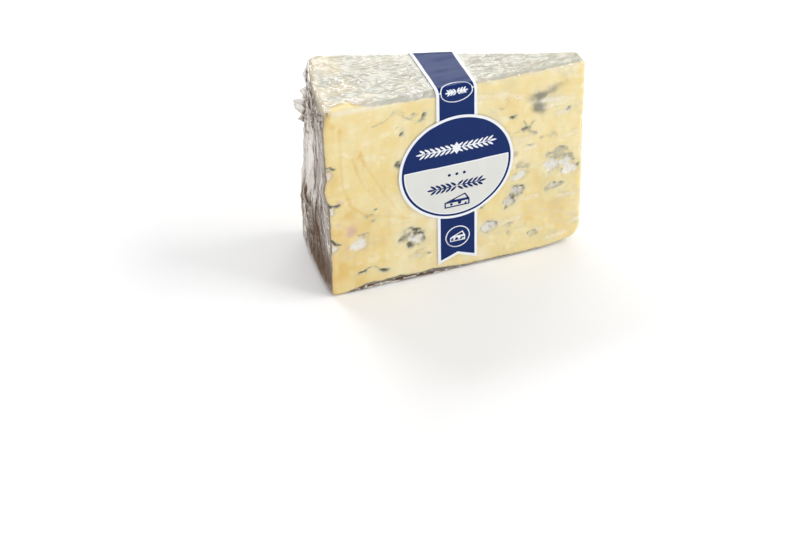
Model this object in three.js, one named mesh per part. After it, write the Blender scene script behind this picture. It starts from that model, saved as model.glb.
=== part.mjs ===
// A wedge of blue cheese sealed in clear film, with a band label over it and a round label in front.
//
// Millimetres, +Z up. The wedge stands on its lower rind. +X runs from the wheel's rim to the blunt
// tip, -Y is the labelled cut face, and the origin is under the middle of the whole part's box.
// Until the last lines, places are given from the lower corner where the front cut meets the rim.

import * as THREE from 'three';
import { mergeVertices } from 'three/addons/utils/BufferGeometryUtils.js';

// The wheel, and the wedge cut from it
const wheelRadius = 110;
const wheelHeight = 71.4;
const wedgesPerWheel = 18;
const wedgeLength = 89.2; // along the front cut, from the rim to the blunt tip
const cutEdgeRadius = 2; // the two upright edges of the front cut
const backTipRadius = 3;
const backRimRadius = 3.7;
const topEdgeRadius = 2;
const bottomEdgeRadius = 1;

// The underside curves up towards the tip, and its corner there is rounded off
const tipLiftStart = 66; // from the rim
const tipRise = 3.3;
const tipCornerLength = 4.6;
const tipCornerHeight = 6;
const tipLiftReach = 24; // the height at which the lift has died away

// The film, where it stands off the rim
const bagProfile = [ // how far the loose film bags out beside the back upright edge, up its height
  { height: 0, depth: 2.4 },
  { height: 10, depth: 4.5 },
  { height: 24, depth: 4.7 },
  { height: 30, depth: 3.1 },
  { height: 44, depth: 2.4 },
  { height: 58, depth: 0 },
];
const bagReachOnRim = 33; // it dies away over this distance from the back upright edge
const bagReachOnBack = 8;
const bagShareOnBack = 0.3; // of its depth, on the back cut
const footFlare = 1.4; // how far the film spreads along the foot of the rim
const footFlareTop = 9; // the height at which it lies close again
const crestPlace = 3; // the gathered crest of film on the rim, this far from the back upright edge
const crestWidth = 2;
const crestTufts = [ // each a tuft of the crest: its height, how far it stands out, half its length
  { height: 56.8, depth: 3.8, spread: 2.4 },
  { height: 52.8, depth: 3.8, spread: 2.0 },
  { height: 49.0, depth: 2.8, spread: 1.6 },
];
const pleatPitch = 5.2; // the upright pleats of film across the rim
const pleatDepth = 0.45;
const crinkleDepth = 0.3; // the crinkled film on the upper rind
const cutFaceSwell = 0.22; // the soft unevenness of the two cuts
const bottomLip = 0.45; // the fold of film along the foot of the cuts
const lipHeight = 0.9;
const lipWave = 26;
const lipStart = [12, 20]; // it rises between these lengths from the rim, and falls between the next two
const lipEnd = [74, 82];

// The labels
const labelGap = 0.15; // between a label and what it lies on
const labelThickness = 0.2;
const bandLeft = 37.3;
const bandWidth = 13.95;
const bandTipHeight = 3.6; // of the two points of its forked end above the floor
const bandNotchDepth = 2.7;
const bandDropAtBack = 11; // how far it runs down the back cut
const discRadius = 19.8;
const discCentre = { x: 44.0, z: 41.5 };
const discRampWidth = 1.1; // in which the round label climbs onto the band
const seatMargin = 3.4; // the wedge is smooth this far round a label
const seatFade = 3.5;

// Faces: the number of steps along each stretch
const steps = {
  cut: 32, tipCorner: 4, tip: 1, corner: 5, rim: 24, bottomEdge: 3, side: 24, topEdge: 4, top: 6,
};

const wedgeAngle = 2 * Math.PI / wedgesPerWheel;
const backNormal = { x: Math.sin(wedgeAngle), y: Math.cos(wedgeAngle) };
const bandRight = bandLeft + bandWidth;

const smoothstep = THREE.MathUtils.smoothstep;
const bell = (distance, spread) => Math.exp(-((distance / spread) ** 2));

// A straight stretch of the outline, walked with the wedge on the left
function straight(from, to) {
  const length = Math.hypot(to.x - from.x, to.y - from.y);
  const normal = { x: (to.y - from.y) / length, y: (from.x - to.x) / length };
  return (t) => ({
    x: from.x + t * (to.x - from.x),
    y: from.y + t * (to.y - from.y),
    normal,
  });
}

// A round stretch of the outline, walked anticlockwise
function round(centre, radius, start, end) {
  return (t) => {
    const angle = start + t * (end - start);
    const normal = { x: Math.cos(angle), y: Math.sin(angle) };
    return { x: centre.x + radius * normal.x, y: centre.y + radius * normal.y, normal };
  };
}

// The outline is a sector with a blunt tip, its four corners rounded. Each column of points up the
// wedge has a place on it, its outward normal, and a foot on the spine, the line along the middle
// of the top where the columns from the front and the back meet.
function outlineColumns() {
  const wheelCentre = { x: wheelRadius, y: 0 };
  const fromCentre = (r) => Math.sqrt((wheelRadius - r) ** 2 - r ** 2);
  const frontRim = { x: wheelRadius - fromCentre(cutEdgeRadius), y: cutEdgeRadius };
  const frontTip = { x: wedgeLength - cutEdgeRadius, y: cutEdgeRadius };
  const backTip = {
    x: wedgeLength - backTipRadius,
    y: ((wheelRadius + backTipRadius - wedgeLength) * backNormal.x - backTipRadius) / backNormal.y,
  };
  const backRim = {
    x: wheelRadius - backRimRadius * backNormal.x - fromCentre(backRimRadius) * backNormal.y,
    y: -backRimRadius * backNormal.y + fromCentre(backRimRadius) * backNormal.x,
  };
  const bearing = (p) => Math.atan2(p.y, p.x - wheelRadius);
  const backBearing = Math.PI / 2 - wedgeAngle;
  const pushed = (p, normal, r) => ({ x: p.x + r * normal.x, y: p.y + r * normal.y });
  const front = { x: 0, y: -1 };
  const right = { x: 1, y: 0 };

  const half = wedgeAngle / 2;
  const onSpine = (distance) => ({
    x: wheelRadius - distance * Math.cos(half),
    y: distance * Math.sin(half),
  });
  const rimFoot = onSpine(wheelRadius / (1 + Math.sin(half)));
  const tipFoot = onSpine((wheelRadius - wedgeLength) / (Math.cos(half) - Math.sin(half)));
  const foot = (t) => ({
    x: rimFoot.x + t * (tipFoot.x - rimFoot.x),
    y: rimFoot.y + t * (tipFoot.y - rimFoot.y),
  });

  const back = backNormal;
  const frontCut = straight(pushed(frontRim, front, cutEdgeRadius), pushed(frontTip, front, cutEdgeRadius));
  const tip = straight(pushed(frontTip, right, cutEdgeRadius), pushed(backTip, right, backTipRadius));
  const backCut = straight(pushed(backTip, back, backTipRadius), pushed(backRim, back, backRimRadius));
  const stretches = [
    [steps.cut, frontCut, (t) => foot(t)],
    [steps.tipCorner, round(frontTip, cutEdgeRadius, -Math.PI / 2, 0), () => foot(1)],
    [steps.tip, tip, () => foot(1)],
    [steps.tipCorner, round(backTip, backTipRadius, 0, backBearing), () => foot(1)],
    [steps.cut, backCut, (t) => foot(1 - t)],
    [steps.corner, round(backRim, backRimRadius, backBearing, bearing(backRim)), () => foot(0)],
    [steps.rim, round(wheelCentre, wheelRadius, bearing(backRim), bearing(frontRim)), () => foot(0)],
    [steps.corner, round(frontRim, cutEdgeRadius, bearing(frontRim), 1.5 * Math.PI), () => foot(0)],
  ];
  return stretches.flatMap(([count, at, footAt]) =>
    Array.from({ length: count }, (_, i) => ({ ...at(i / count), foot: footAt(i / count) })));
}

// One row of points for each height: how far it is drawn in from the outline, its share of the way
// to the spine, and how much its surface looks outwards (side) and upwards (up)
function profileRows() {
  const rows = [{ z: 0, inset: bottomEdgeRadius, toSpine: 1, side: 0, up: -1 }];
  for (let i = 0; i <= steps.bottomEdge; i++) {
    const angle = (i / steps.bottomEdge - 1) * Math.PI / 2;
    rows.push({
      z: bottomEdgeRadius * (1 + Math.sin(angle)),
      inset: bottomEdgeRadius * (1 - Math.cos(angle)),
      toSpine: 0,
      side: Math.cos(angle),
      up: Math.sin(angle),
    });
  }
  const sideTop = wheelHeight - topEdgeRadius;
  for (let i = 1; i <= steps.side; i++) {
    const z = bottomEdgeRadius + (i / steps.side) * (sideTop - bottomEdgeRadius);
    rows.push({ z, inset: 0, toSpine: 0, side: 1, up: 0 });
  }
  for (let i = 1; i <= steps.topEdge; i++) {
    const angle = (i / steps.topEdge) * Math.PI / 2;
    rows.push({
      z: sideTop + topEdgeRadius * Math.sin(angle),
      inset: topEdgeRadius * (1 - Math.cos(angle)),
      toSpine: 0,
      side: Math.cos(angle),
      up: Math.sin(angle),
    });
  }
  for (let i = 1; i <= steps.top; i++) {
    rows.push({ z: wheelHeight, inset: topEdgeRadius, toSpine: i / steps.top, side: 0, up: 1 });
  }
  return rows;
}

// The depth of the bag at a height, along straight lines between the points of its profile
function bagDepthAt(z) {
  const after = bagProfile.findIndex((point) => point.height > z);
  if (after < 0) return 0;
  const [low, high] = [bagProfile[after - 1], bagProfile[after]];
  return THREE.MathUtils.mapLinear(z, low.height, high.height, low.depth, high.depth);
}

// How far the film stands out sideways: loose over the rim, spread along its foot, gathered in a
// crest by the back upright edge, and in a low lip along the foot of the cuts
const backRimCorner = {
  x: wheelRadius * (1 - Math.cos(wedgeAngle)),
  y: wheelRadius * Math.sin(wedgeAngle),
};
function looseFilm(x, y, z, normal) {
  const away = Math.hypot(x - backRimCorner.x, y - backRimCorner.y);
  const facesRim = smoothstep(-normal.x, -backNormal.x, 0.9);
  const near = 1 - smoothstep(away, 0, THREE.MathUtils.lerp(bagReachOnBack, bagReachOnRim, facesRim));
  const bag = bagDepthAt(z) * near * THREE.MathUtils.lerp(bagShareOnBack, 1, facesRim);
  const flare = footFlare * smoothstep(y, -4, 8) * (1 - smoothstep(z, 2, footFlareTop)) * facesRim;
  const tufts = crestTufts.map((tuft) => tuft.depth * bell(z - tuft.height, tuft.spread));
  const crest = Math.max(...tufts) * bell(away - crestPlace, crestWidth) * facesRim;
  const onCut = Math.abs(normal.y) * smoothstep(x, ...lipStart) * (1 - smoothstep(x, ...lipEnd));
  const lip = bottomLip * bell(z - lipHeight, lipHeight) * onCut;
  return bag + flare + crest + lip * (0.6 + 0.4 * Math.sin(2 * Math.PI * x / lipWave));
}

// How far the underside and the lower part of the tip are lifted off the floor
function tipLift(x, z) {
  const along = Math.max((x - tipLiftStart) / (wedgeLength - tipLiftStart), 0);
  const past = THREE.MathUtils.clamp((x - wedgeLength) / tipCornerLength + 1, 0, 0.97);
  const lift = tipRise * along ** 2 + tipCornerHeight * (1 - Math.sqrt(1 - past ** 2));
  return lift * Math.max(1 - z / tipLiftReach, 0);
}

// 0 on and close round a label, 1 well away from it
function awayFromLabels(x, z, normal, row) {
  const besideBand = Math.max(bandLeft - x, x - bandRight, 0);
  const fade = (distance) => smoothstep(distance, seatMargin, seatMargin + seatFade);
  if (row.up > 0.5) return fade(besideBand);
  if (normal.y > 0) {
    const beside = Math.max(bandLeft - bandDropAtBack - x, x - bandRight, 0);
    return fade(Math.hypot(beside, Math.max(wheelHeight - 2 * bandDropAtBack - z, 0)));
  }
  const fromDisc = Math.max(Math.hypot(x - discCentre.x, z - discCentre.z) - discRadius, 0);
  return fade(Math.min(Math.hypot(besideBand, Math.max(bandTipHeight - z, 0)), fromDisc));
}

// The low relief of the film: crinkles along the top, pleats down the rim, and a soft swell on the cuts
function lowRelief(x, y, z, normal, row) {
  const onTop = smoothstep(row.up, 0.3, 1);
  const onSide = row.side ** 2 * smoothstep(z, lipHeight * 3, lipHeight * 9);
  const onRim = smoothstep(-normal.x, 0.6, 0.95);
  const crinkle = Math.sin(0.32 * x + 0.95 * y + 1.3 * Math.sin(0.3 * x))
    * Math.sin(0.5 * x - 0.45 * y + 1.1 * Math.sin(0.4 * y));
  const pleat = Math.sin(2 * Math.PI * y / pleatPitch + 0.9 * Math.sin(z / 8.3) + z / 21);
  const swell = Math.sin(x / 9.7 + 0.6) * Math.sin(z / 8.6 + x / 31);
  const onTopOrCut = crinkleDepth * crinkle * onTop
    + cutFaceSwell * swell * onSide * (1 - onRim) * Math.abs(normal.y);
  return onTopOrCut * awayFromLabels(x, z, normal, row) + pleatDepth * pleat * onSide * onRim;
}

// A closed geometry from points and triangles: like points are merged, and flat-out triangles dropped
function closedGeometry(points, triangles) {
  const loose = new THREE.BufferGeometry();
  loose.setAttribute('position', new THREE.Float32BufferAttribute(points.flat(), 3));
  loose.setIndex(triangles.flat());
  const merged = mergeVertices(loose, 1e-3);
  const index = merged.getIndex().array;
  const kept = [];
  for (let i = 0; i < index.length; i += 3) {
    const [a, b, c] = [index[i], index[i + 1], index[i + 2]];
    if (a !== b && b !== c && c !== a) kept.push(a, b, c);
  }
  merged.setIndex(kept);
  merged.computeVertexNormals();
  return merged;
}

// The wedge in its film: every row of the profile carried round every column of the outline
function wedgeGeometry() {
  const columns = outlineColumns();
  const rows = profileRows();
  const points = rows.flatMap((row) => columns.map(({ x, y, normal, foot }) => {
    const ring = { x: x - row.inset * normal.x, y: y - row.inset * normal.y };
    const place = {
      x: THREE.MathUtils.lerp(ring.x, foot.x, row.toSpine),
      y: THREE.MathUtils.lerp(ring.y, foot.y, row.toSpine),
    };
    const out = looseFilm(x, y, row.z, normal) * (1 - row.toSpine);
    const low = lowRelief(place.x, place.y, row.z, normal, row);
    return [
      place.x + normal.x * (out + low * row.side),
      place.y + normal.y * (out + low * row.side),
      row.z + low * row.up + tipLift(place.x, row.z),
    ];
  }));
  const triangles = [];
  for (let i = 0; i + 1 < rows.length; i++) {
    for (let j = 0; j < columns.length; j++) {
      const next = (j + 1) % columns.length;
      const a = i * columns.length + j;
      const b = i * columns.length + next;
      const c = b + columns.length;
      const d = a + columns.length;
      triangles.push([a, b, c], [a, c, d]);
    }
  }
  return closedGeometry(points, triangles);
}

// A sheet of label stock: a grid of points at its lower lift, the same grid at its upper lift, and
// the border between them. pointAt(i, j, over) gives a point, over being 0 below and 1 above.
function sheetGeometry(rowCount, columnCount, pointAt) {
  const points = [];
  for (const over of [0, 1]) {
    for (let i = 0; i < rowCount; i++) {
      for (let j = 0; j < columnCount; j++) points.push(pointAt(i, j, over));
    }
  }
  const at = (i, j, over) => (over * rowCount + i) * columnCount + j;
  const triangles = [];
  const quad = (a, b, c, d) => triangles.push([a, b, c], [a, c, d]);
  for (let i = 0; i + 1 < rowCount; i++) {
    for (let j = 0; j + 1 < columnCount; j++) {
      quad(at(i, j, 1), at(i, j + 1, 1), at(i + 1, j + 1, 1), at(i + 1, j, 1));
      quad(at(i, j, 0), at(i + 1, j, 0), at(i + 1, j + 1, 0), at(i, j + 1, 0));
    }
  }
  const lastRow = rowCount - 1;
  const lastColumn = columnCount - 1;
  for (let j = 0; j < lastColumn; j++) {
    quad(at(0, j, 0), at(0, j + 1, 0), at(0, j + 1, 1), at(0, j, 1));
    quad(at(lastRow, j + 1, 0), at(lastRow, j, 0), at(lastRow, j, 1), at(lastRow, j + 1, 1));
  }
  for (let i = 0; i < lastRow; i++) {
    quad(at(i + 1, 0, 0), at(i, 0, 0), at(i, 0, 1), at(i + 1, 0, 1));
    quad(at(i, lastColumn, 0), at(i + 1, lastColumn, 0), at(i + 1, lastColumn, 1), at(i, lastColumn, 1));
  }
  return closedGeometry(points, triangles);
}

// Lengths along the band, measured up the front from the floor, over the top and down the back
const bandAtTopEdge = wheelHeight - topEdgeRadius;
const edgeArc = topEdgeRadius * Math.PI / 2;
const bandOnTop = bandAtTopEdge + edgeArc;
const backLineOffset = wheelRadius * backNormal.x - topEdgeRadius;

// The length at which the band's line at x reaches the bend of the back edge
function bandAtBackEdge(x) {
  const y = (backLineOffset - x * backNormal.x) / backNormal.y;
  return bandOnTop + y - topEdgeRadius;
}

// A point of the band: its line across the wedge at x, the length along it, and its lift off the wedge
function bandPoint(x, length, lift) {
  const r = topEdgeRadius + lift;
  if (length <= bandAtTopEdge) return [x, -lift, length];
  if (length <= bandOnTop) {
    const angle = (length - bandAtTopEdge) / topEdgeRadius;
    return [x, topEdgeRadius - r * Math.cos(angle), bandAtTopEdge + r * Math.sin(angle)];
  }
  const y = topEdgeRadius + length - bandOnTop;
  const past = x * backNormal.x + y * backNormal.y - backLineOffset;
  if (past <= 0) return [x, y, wheelHeight + lift];
  const bend = { x: x - past * backNormal.x, y: y - past * backNormal.y };
  const angle = Math.min(past / topEdgeRadius, Math.PI / 2);
  const down = Math.max(past - edgeArc, 0);
  return [
    bend.x + r * Math.sin(angle) * backNormal.x,
    bend.y + r * Math.sin(angle) * backNormal.y,
    bandAtTopEdge + r * Math.cos(angle) - down,
  ];
}

// The band label: straight up the front, over the top and a little way down the back, with a fork
// cut into each end
function bandGeometry() {
  const across = 6;
  const bend = 5;
  const xs = Array.from({ length: across + 1 }, (_, j) => bandLeft + bandWidth * j / across);
  const fork = (x) => bandNotchDepth * (1 - Math.abs(x - bandLeft - bandWidth / 2) / (bandWidth / 2));
  const backEnd = bandAtBackEdge(bandLeft) + (edgeArc + bandDropAtBack) / backNormal.y;
  const spread = (from, to, count) => Array.from({ length: count }, (_, i) => [from, to, i / count]);
  const stretches = [
    ...spread((x) => bandTipHeight + fork(x), () => bandAtTopEdge, 5),
    ...spread(() => bandAtTopEdge, () => bandOnTop, bend),
    ...spread(() => bandOnTop, bandAtBackEdge, 4),
    ...spread(bandAtBackEdge, (x) => bandAtBackEdge(x) + edgeArc / backNormal.y, bend),
    ...spread((x) => bandAtBackEdge(x) + edgeArc / backNormal.y, (x) => backEnd - fork(x), 3),
    [(x) => backEnd - fork(x), (x) => backEnd - fork(x), 0],
  ];
  return sheetGeometry(stretches.length, xs.length, (i, j, over) => {
    const [from, to, t] = stretches[i];
    const length = THREE.MathUtils.lerp(from(xs[j]), to(xs[j]), t);
    return bandPoint(xs[j], length, labelGap + over * labelThickness);
  });
}

// The round label: flat on the front cut, and lifted where it crosses the band
function discGeometry() {
  const columns = 36;
  const rows = 8;
  const overBand = labelGap + labelThickness;
  const clear = labelGap * 2;
  const cosineSpaced = Array.from({ length: columns + 1 }, (_, i) =>
    discCentre.x - discRadius * Math.cos(Math.PI * i / columns));
  const rampEnds = [
    bandLeft - clear - discRampWidth, bandLeft - clear,
    bandRight + clear, bandRight + clear + discRampWidth,
  ];
  const xs = [...cosineSpaced, ...rampEnds].sort((a, b) => a - b);
  return sheetGeometry(rows + 1, xs.length, (i, j, over) => {
    const x = xs[j];
    const halfHeight = Math.sqrt(Math.max(discRadius ** 2 - (x - discCentre.x) ** 2, 0));
    const away = Math.max(bandLeft - clear - x, x - bandRight - clear, 0);
    const climb = overBand * (1 - smoothstep(away, 0, discRampWidth));
    const z = discCentre.z + halfHeight * (2 * i / rows - 1);
    return [x, -(labelGap + climb + over * labelThickness), z];
  });
}

function piece(name, geometry, color, roughness) {
  const mesh = new THREE.Mesh(geometry, new THREE.MeshStandardMaterial({ color, roughness, metalness: 0 }));
  mesh.name = name;
  return mesh;
}

const part = new THREE.Group();
part.add(
  piece('wrapped_wedge', wedgeGeometry(), '#ead59c', 0.3),
  piece('label_band', bandGeometry(), '#213668', 0.35),
  piece('label_disc', discGeometry(), '#e1e1de', 0.35),
);

// Move the origin under the middle of the part
const box = new THREE.Box3().setFromObject(part);
const middle = box.getCenter(new THREE.Vector3());
part.position.set(-middle.x, -middle.y, -box.min.z);
part.updateMatrixWorld(true);

export default part;
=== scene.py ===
# A wedge of blue cheese sealed in clear film, with a band label over it and a round label in front.
# Shapes are worked out in millimetres from the lower corner where the front cut meets the rim:
# x runs along the front cut to the blunt tip, y to the back and z up. They go into the mesh in metres.

import itertools
import math
from types import SimpleNamespace

import bpy
import numpy as np
from mathutils import Matrix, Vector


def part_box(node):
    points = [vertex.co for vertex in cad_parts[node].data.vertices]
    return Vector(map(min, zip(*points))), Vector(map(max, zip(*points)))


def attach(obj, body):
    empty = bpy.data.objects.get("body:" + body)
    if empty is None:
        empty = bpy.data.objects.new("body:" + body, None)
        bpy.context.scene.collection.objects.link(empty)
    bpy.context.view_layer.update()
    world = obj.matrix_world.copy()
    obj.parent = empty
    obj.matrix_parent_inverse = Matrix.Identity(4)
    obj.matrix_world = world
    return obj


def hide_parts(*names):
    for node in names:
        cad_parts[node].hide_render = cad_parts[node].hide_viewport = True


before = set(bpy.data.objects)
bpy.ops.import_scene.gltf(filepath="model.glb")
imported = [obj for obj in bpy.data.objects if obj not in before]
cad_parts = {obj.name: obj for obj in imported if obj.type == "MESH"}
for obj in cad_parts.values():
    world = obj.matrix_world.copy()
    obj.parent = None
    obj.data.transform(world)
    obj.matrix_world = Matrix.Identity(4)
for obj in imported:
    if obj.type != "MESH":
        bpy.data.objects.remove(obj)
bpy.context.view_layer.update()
mm = 0.001

# The wheel, and the wedge cut from it
wedge = {
    "wheelRadius": 110.0,
    "height": 71.4,
    "angle": math.radians(20.0),
    "cutLength": 89.2,       # along the front cut, from the rim to the blunt tip
    "cutEdge": 2.0,          # radius of the two upright edges of the front cut
    "backTipEdge": 3.0,      # of the back cut's upright edge at the tip
    "backRimEdge": 3.7,      # and at the rim
    "topEdge": 2.0,
    "bottomEdge": 1.0,
}
# The underside curves up towards the tip, and its corner there is rounded off
tipLift = {
    "start": 66.0,           # from the rim
    "rise": 3.3,
    "cornerLength": 4.6,
    "cornerHeight": 6.0,
    "cornerShare": 0.97,     # it stops this far round, short of upright
    "reach": 24.0,           # the height at which the lift has died away
}
# The rim swells out beside the front cut: how far, at a few heights
rimSwell = {
    "heights": (26.0, 34.0, 38.0, 42.0, 46.0, 52.0, 58.0, 64.0, 68.0, 71.0),
    "depths": (0.1, 0.2, 0.8, 1.7, 0.9, 0.8, 0.9, 1.1, 0.6, 0.0),
    "reachOnRim": 16.0,
    "fullOnRim": 4.0,        # it is whole up to here
    "reachOnCut": 8.0,
}
# The rounded corner at the foot of the front cut by the rim
footCorner = {"length": 3.5, "height": 1.8, "reach": 9.0}
# The round label on the front cut: what is printed on it is placed from its middle
disc = {
    "centre": (44.0, 41.5),  # x and z
    "radius": 19.8,
    "lift": 0.15,            # over what it lies on
    "thickness": 0.16,
    "climb": 0.22,           # where it crosses the band
    "rampWidth": 3.0,
    "border": 0.95,          # white margin
    "ringWidth": 0.8,        # navy ring inside the margin
    "inline": 0.35,          # thin white line inside the ring, round the pale half
    "divider": 1.2,          # height of the dividing line over the middle
    "dividerGaps": (0.2, 0.25),  # from it to the navy half above and to the pale half below
    "navySprig": (7.6, 12.6, 7, (1.4, 0.36)),  # height, half length, pairs of leaves, size of a leaf
    "star": (7.6, 1.5, 2.3),  # height, half width, half height
    "dots": ((-2.6, 0, 2.6), -2.5, 0.55),  # places across, height, radius
    "paleSprig": (-7.2, 9, 5, (1.4, 0.42)),
    "cheeseMark": (-13, 4.4, 2.4, 0.5),  # height, half width, half height, width of its lines
    "ripple": (83, 0.04, 9),  # seed, height and size
    "cells": 150,
}
# The band label: what is printed on it is placed along its middle line, measured up from the floor
band = {
    "left": 37.3,
    "width": 13.95,
    "tipHeight": 3.6,        # of the two points of its forked end
    "notch": 2.7,            # depth of the fork
    "dropAtBack": 11.0,
    "calmAtBack": 1.6,       # the back cut is smooth this many times as far down
    "lift": 0.1,
    "thickness": 0.12,
    "ripples": ((81, 0.05, 7, 5), (82, 0.03, 3, 9)),  # seed, height, size across and along
    "wave": 0.13,            # on the top
    "waveSize": (16, 3.6),
    "border": 1.0,
    "foldLine": 70.5,        # length along the band at which a thin line crosses it
    "foldLineWidth": 0.16,
    "oval": (70.1, 5.5, 3.7),  # place along the band, half width, half height
    "ovalLine": 0.35,
    "ovalSprig": (3.3, 3, (0.75, 0.24)),  # half length, pairs of leaves, half length and width of a leaf
    "ring": (13.6, 4.3, 4.3),
    "ringLine": 0.4,
    "cheeseMark": (13.7, 2.7, 1.9, 0.38),  # place, half width, half height, width of its lines
    "cellsAcross": 40,
    "cellsAlong": 330,
}

# The frame says where these millimetres lie: the round label's box gives the shift to the row frame
discLow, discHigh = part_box("label_disc")
discFront = 0.7  # how far its solid stands out from the cut
shift = np.array((
    (discLow.x + discHigh.x) / 2 / mm - disc["centre"][0],
    discLow.y / mm + discFront,
    0.0,
))
print("frame loaded, shift in mm", shift.round(3))


# Numbers and noise

# 0 at low and before it, 1 at high and past it, and a smooth step between: t * t * (3 - 2 * t)
def smoothStep(value, low, high):
    share = np.clip((value - low) / (high - low), 0, 1)
    return share * share * (3 - 2 * share)


# a + (b - a) * share
def blend(a, b, share):
    return a + (b - a) * share


# A bell curve, 1 in its middle: exp(-(distance / spread)^2)
def bell(distance, spread):
    return np.exp(-((distance / spread) ** 2))


latticeSize = 64
# Random numbers from -1 to 1 at the points of a whole-number lattice, blended smoothly between them
def smoothNoise(seed, *place):
    lattice = np.random.default_rng(seed).uniform(-1, 1, (latticeSize,) * 3)
    place = np.broadcast_arrays(*place)
    low = [np.floor(p).astype(int) for p in place]
    share = [smoothStep(p - l, 0, 1) for p, l in zip(place, low)]
    total = 0.0
    for corner in itertools.product((0, 1), repeat=3):
        weight = np.prod([s if c else 1 - s for s, c in zip(share, corner)], axis=0)
        index = tuple((l + c) % latticeSize for l, c in zip(low, corner))
        total = total + weight * lattice[index]
    return total


ridgeSteepness = 1.9
# Sharp ridges where the noise crosses zero: 1 - ridgeSteepness * |noise|, and not below 0
def ridges(seed, *place):
    return np.clip(1 - ridgeSteepness * np.abs(smoothNoise(seed, *place)), 0, 1)


still = np.inf  # the size of a noise along an axis on which it doesn't change
# Noises over a form, by name, each from its seed and its size in mm along x, y and z
def noisesOver(form, table):
    return {
        name: smoothNoise(seed, form.x / sizeX, form.y / sizeY, form.z / sizeZ)
        for name, (seed, sizeX, sizeY, sizeZ) in table.items()
    }


# Shares over a form, by name, each the product of smooth steps. A step is a measure of the form and the
# values at which it is 0 and 1.
def zonesOver(form, table):
    shares = {}
    for name, steps in table.items():
        rising = [smoothStep(getattr(form, measure), low, high) for measure, low, high in steps]
        shares[name] = np.prod(rising, axis=0)
    return shares


# A place seen along and across a line that is tilted by some degrees about a centre
def turned(x, z, centreX, centreZ, tilt):
    cosine = math.cos(math.radians(tilt))
    sine = math.sin(math.radians(tilt))
    along = (x - centreX) * cosine + (z - centreZ) * sine
    across = -(x - centreX) * sine + (z - centreZ) * cosine
    return along, across


# The least distance from each point to a line of straight pieces through a few corners
def distanceToLine(x, z, corners):
    nearest = np.full(np.shape(x), np.inf)
    for (x0, z0), (x1, z1) in zip(corners[:-1], corners[1:]):
        length2 = (x1 - x0) ** 2 + (z1 - z0) ** 2
        share = np.clip(((x - x0) * (x1 - x0) + (z - z0) * (z1 - z0)) / length2, 0, 1)
        away = np.hypot(x - x0 - share * (x1 - x0), z - z0 - share * (z1 - z0))
        nearest = np.minimum(nearest, away)
    return nearest


# The highest of a few ridges, each a bell across a line of its own height
def ridgesAlong(x, z, lines, spread):
    over = [height * bell(distanceToLine(x, z, corners), spread) for corners, height in lines]
    return np.max(over, axis=0)


# Keeps the higher of a field and what is laid over it
def layOver(fields, **layers):
    for name, values in layers.items():
        fields[name] = np.maximum(fields[name], values)


# Meshes from arrays

mergeMm = 1e-4  # points that are closer than this are one
sharpAngle = math.radians(50)
# One mesh object from points in mm, triangles, and a number at each point for each attribute.
# Like points are merged, and triangles that are then flat are dropped.
def meshPiece(name, points, triangles, attributes, material):
    flat = points.reshape(-1, 3)
    keys = np.round(flat / mergeMm).astype(np.int64)
    _, first, inverse = np.unique(keys, axis=0, return_index=True, return_inverse=True)
    corners = inverse.ravel()[triangles]
    a, b, c = corners.T
    corners = corners[(a != b) & (b != c) & (c != a)]
    mesh = bpy.data.meshes.new(name)
    mesh.vertices.add(len(first))
    mesh.vertices.foreach_set("co", ((flat[first] + shift) * mm).ravel())
    mesh.loops.add(corners.size)
    mesh.loops.foreach_set("vertex_index", corners.ravel())
    mesh.polygons.add(len(corners))
    mesh.polygons.foreach_set("loop_start", np.arange(0, corners.size, 3))
    mesh.polygons.foreach_set("use_smooth", np.ones(len(corners), bool))
    mesh.update(calc_edges=True)
    mesh.validate()
    for label, values in attributes.items():
        layer = mesh.attributes.new(label, "FLOAT", "POINT")
        layer.data.foreach_set("value", np.ravel(values)[first].astype(np.float32))
    mesh.materials.append(material)
    piece = bpy.data.objects.new(name, mesh)
    bpy.context.scene.collection.objects.link(piece)
    print(f"{name}: {len(corners)} triangles")
    return piece


# The triangles of a grid of points, each cell cut in two. In a closed one the last column meets the
# first.
def gridTriangles(rowCount, columnCount, closed):
    rows = np.arange(rowCount - 1)[:, None] * columnCount
    columns = np.arange(columnCount if closed else columnCount - 1)[None, :]
    after = (columns + 1) % columnCount
    a = rows + columns
    b = rows + after
    c = b + columnCount
    d = a + columnCount
    quads = np.stack((a, b, c, a, c, d), axis=-1)
    return quads.reshape(-1, 3)


# A thin sheet: a grid of points under it, the same grid over it, and the border between them
def sheetPiece(name, under, over, attributes, material):
    rowCount, columnCount = under.shape[:2]
    count = rowCount * columnCount
    face = gridTriangles(rowCount, columnCount, closed=False)
    index = np.arange(count).reshape(rowCount, columnCount)
    border = np.concatenate((index[0, :-1], index[:-1, -1], index[-1, :0:-1], index[:0:-1, 0]))
    after = np.roll(border, -1)
    sides = np.stack((border, after, after + count, border, after + count, border + count), axis=-1)
    triangles = np.concatenate((face + count, face[:, ::-1], sides.reshape(-1, 3)))
    both = {label: np.tile(values.ravel(), 2) for label, values in attributes.items()}
    points = np.concatenate((under.reshape(-1, 3), over.reshape(-1, 3)))
    piece = meshPiece(name, points, triangles, both, material)
    piece.data.set_sharp_from_angle(angle=sharpAngle)
    return piece


# Materials

# An sRGB hex colour, turned linear
def linear(hexColour):
    parts = [int(hexColour[i:i + 2], 16) / 255 for i in (1, 3, 5)]
    return [p / 12.92 if p <= 0.04045 else ((p + 0.055) / 1.055) ** 2.4 for p in parts] + [1.0]


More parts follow.
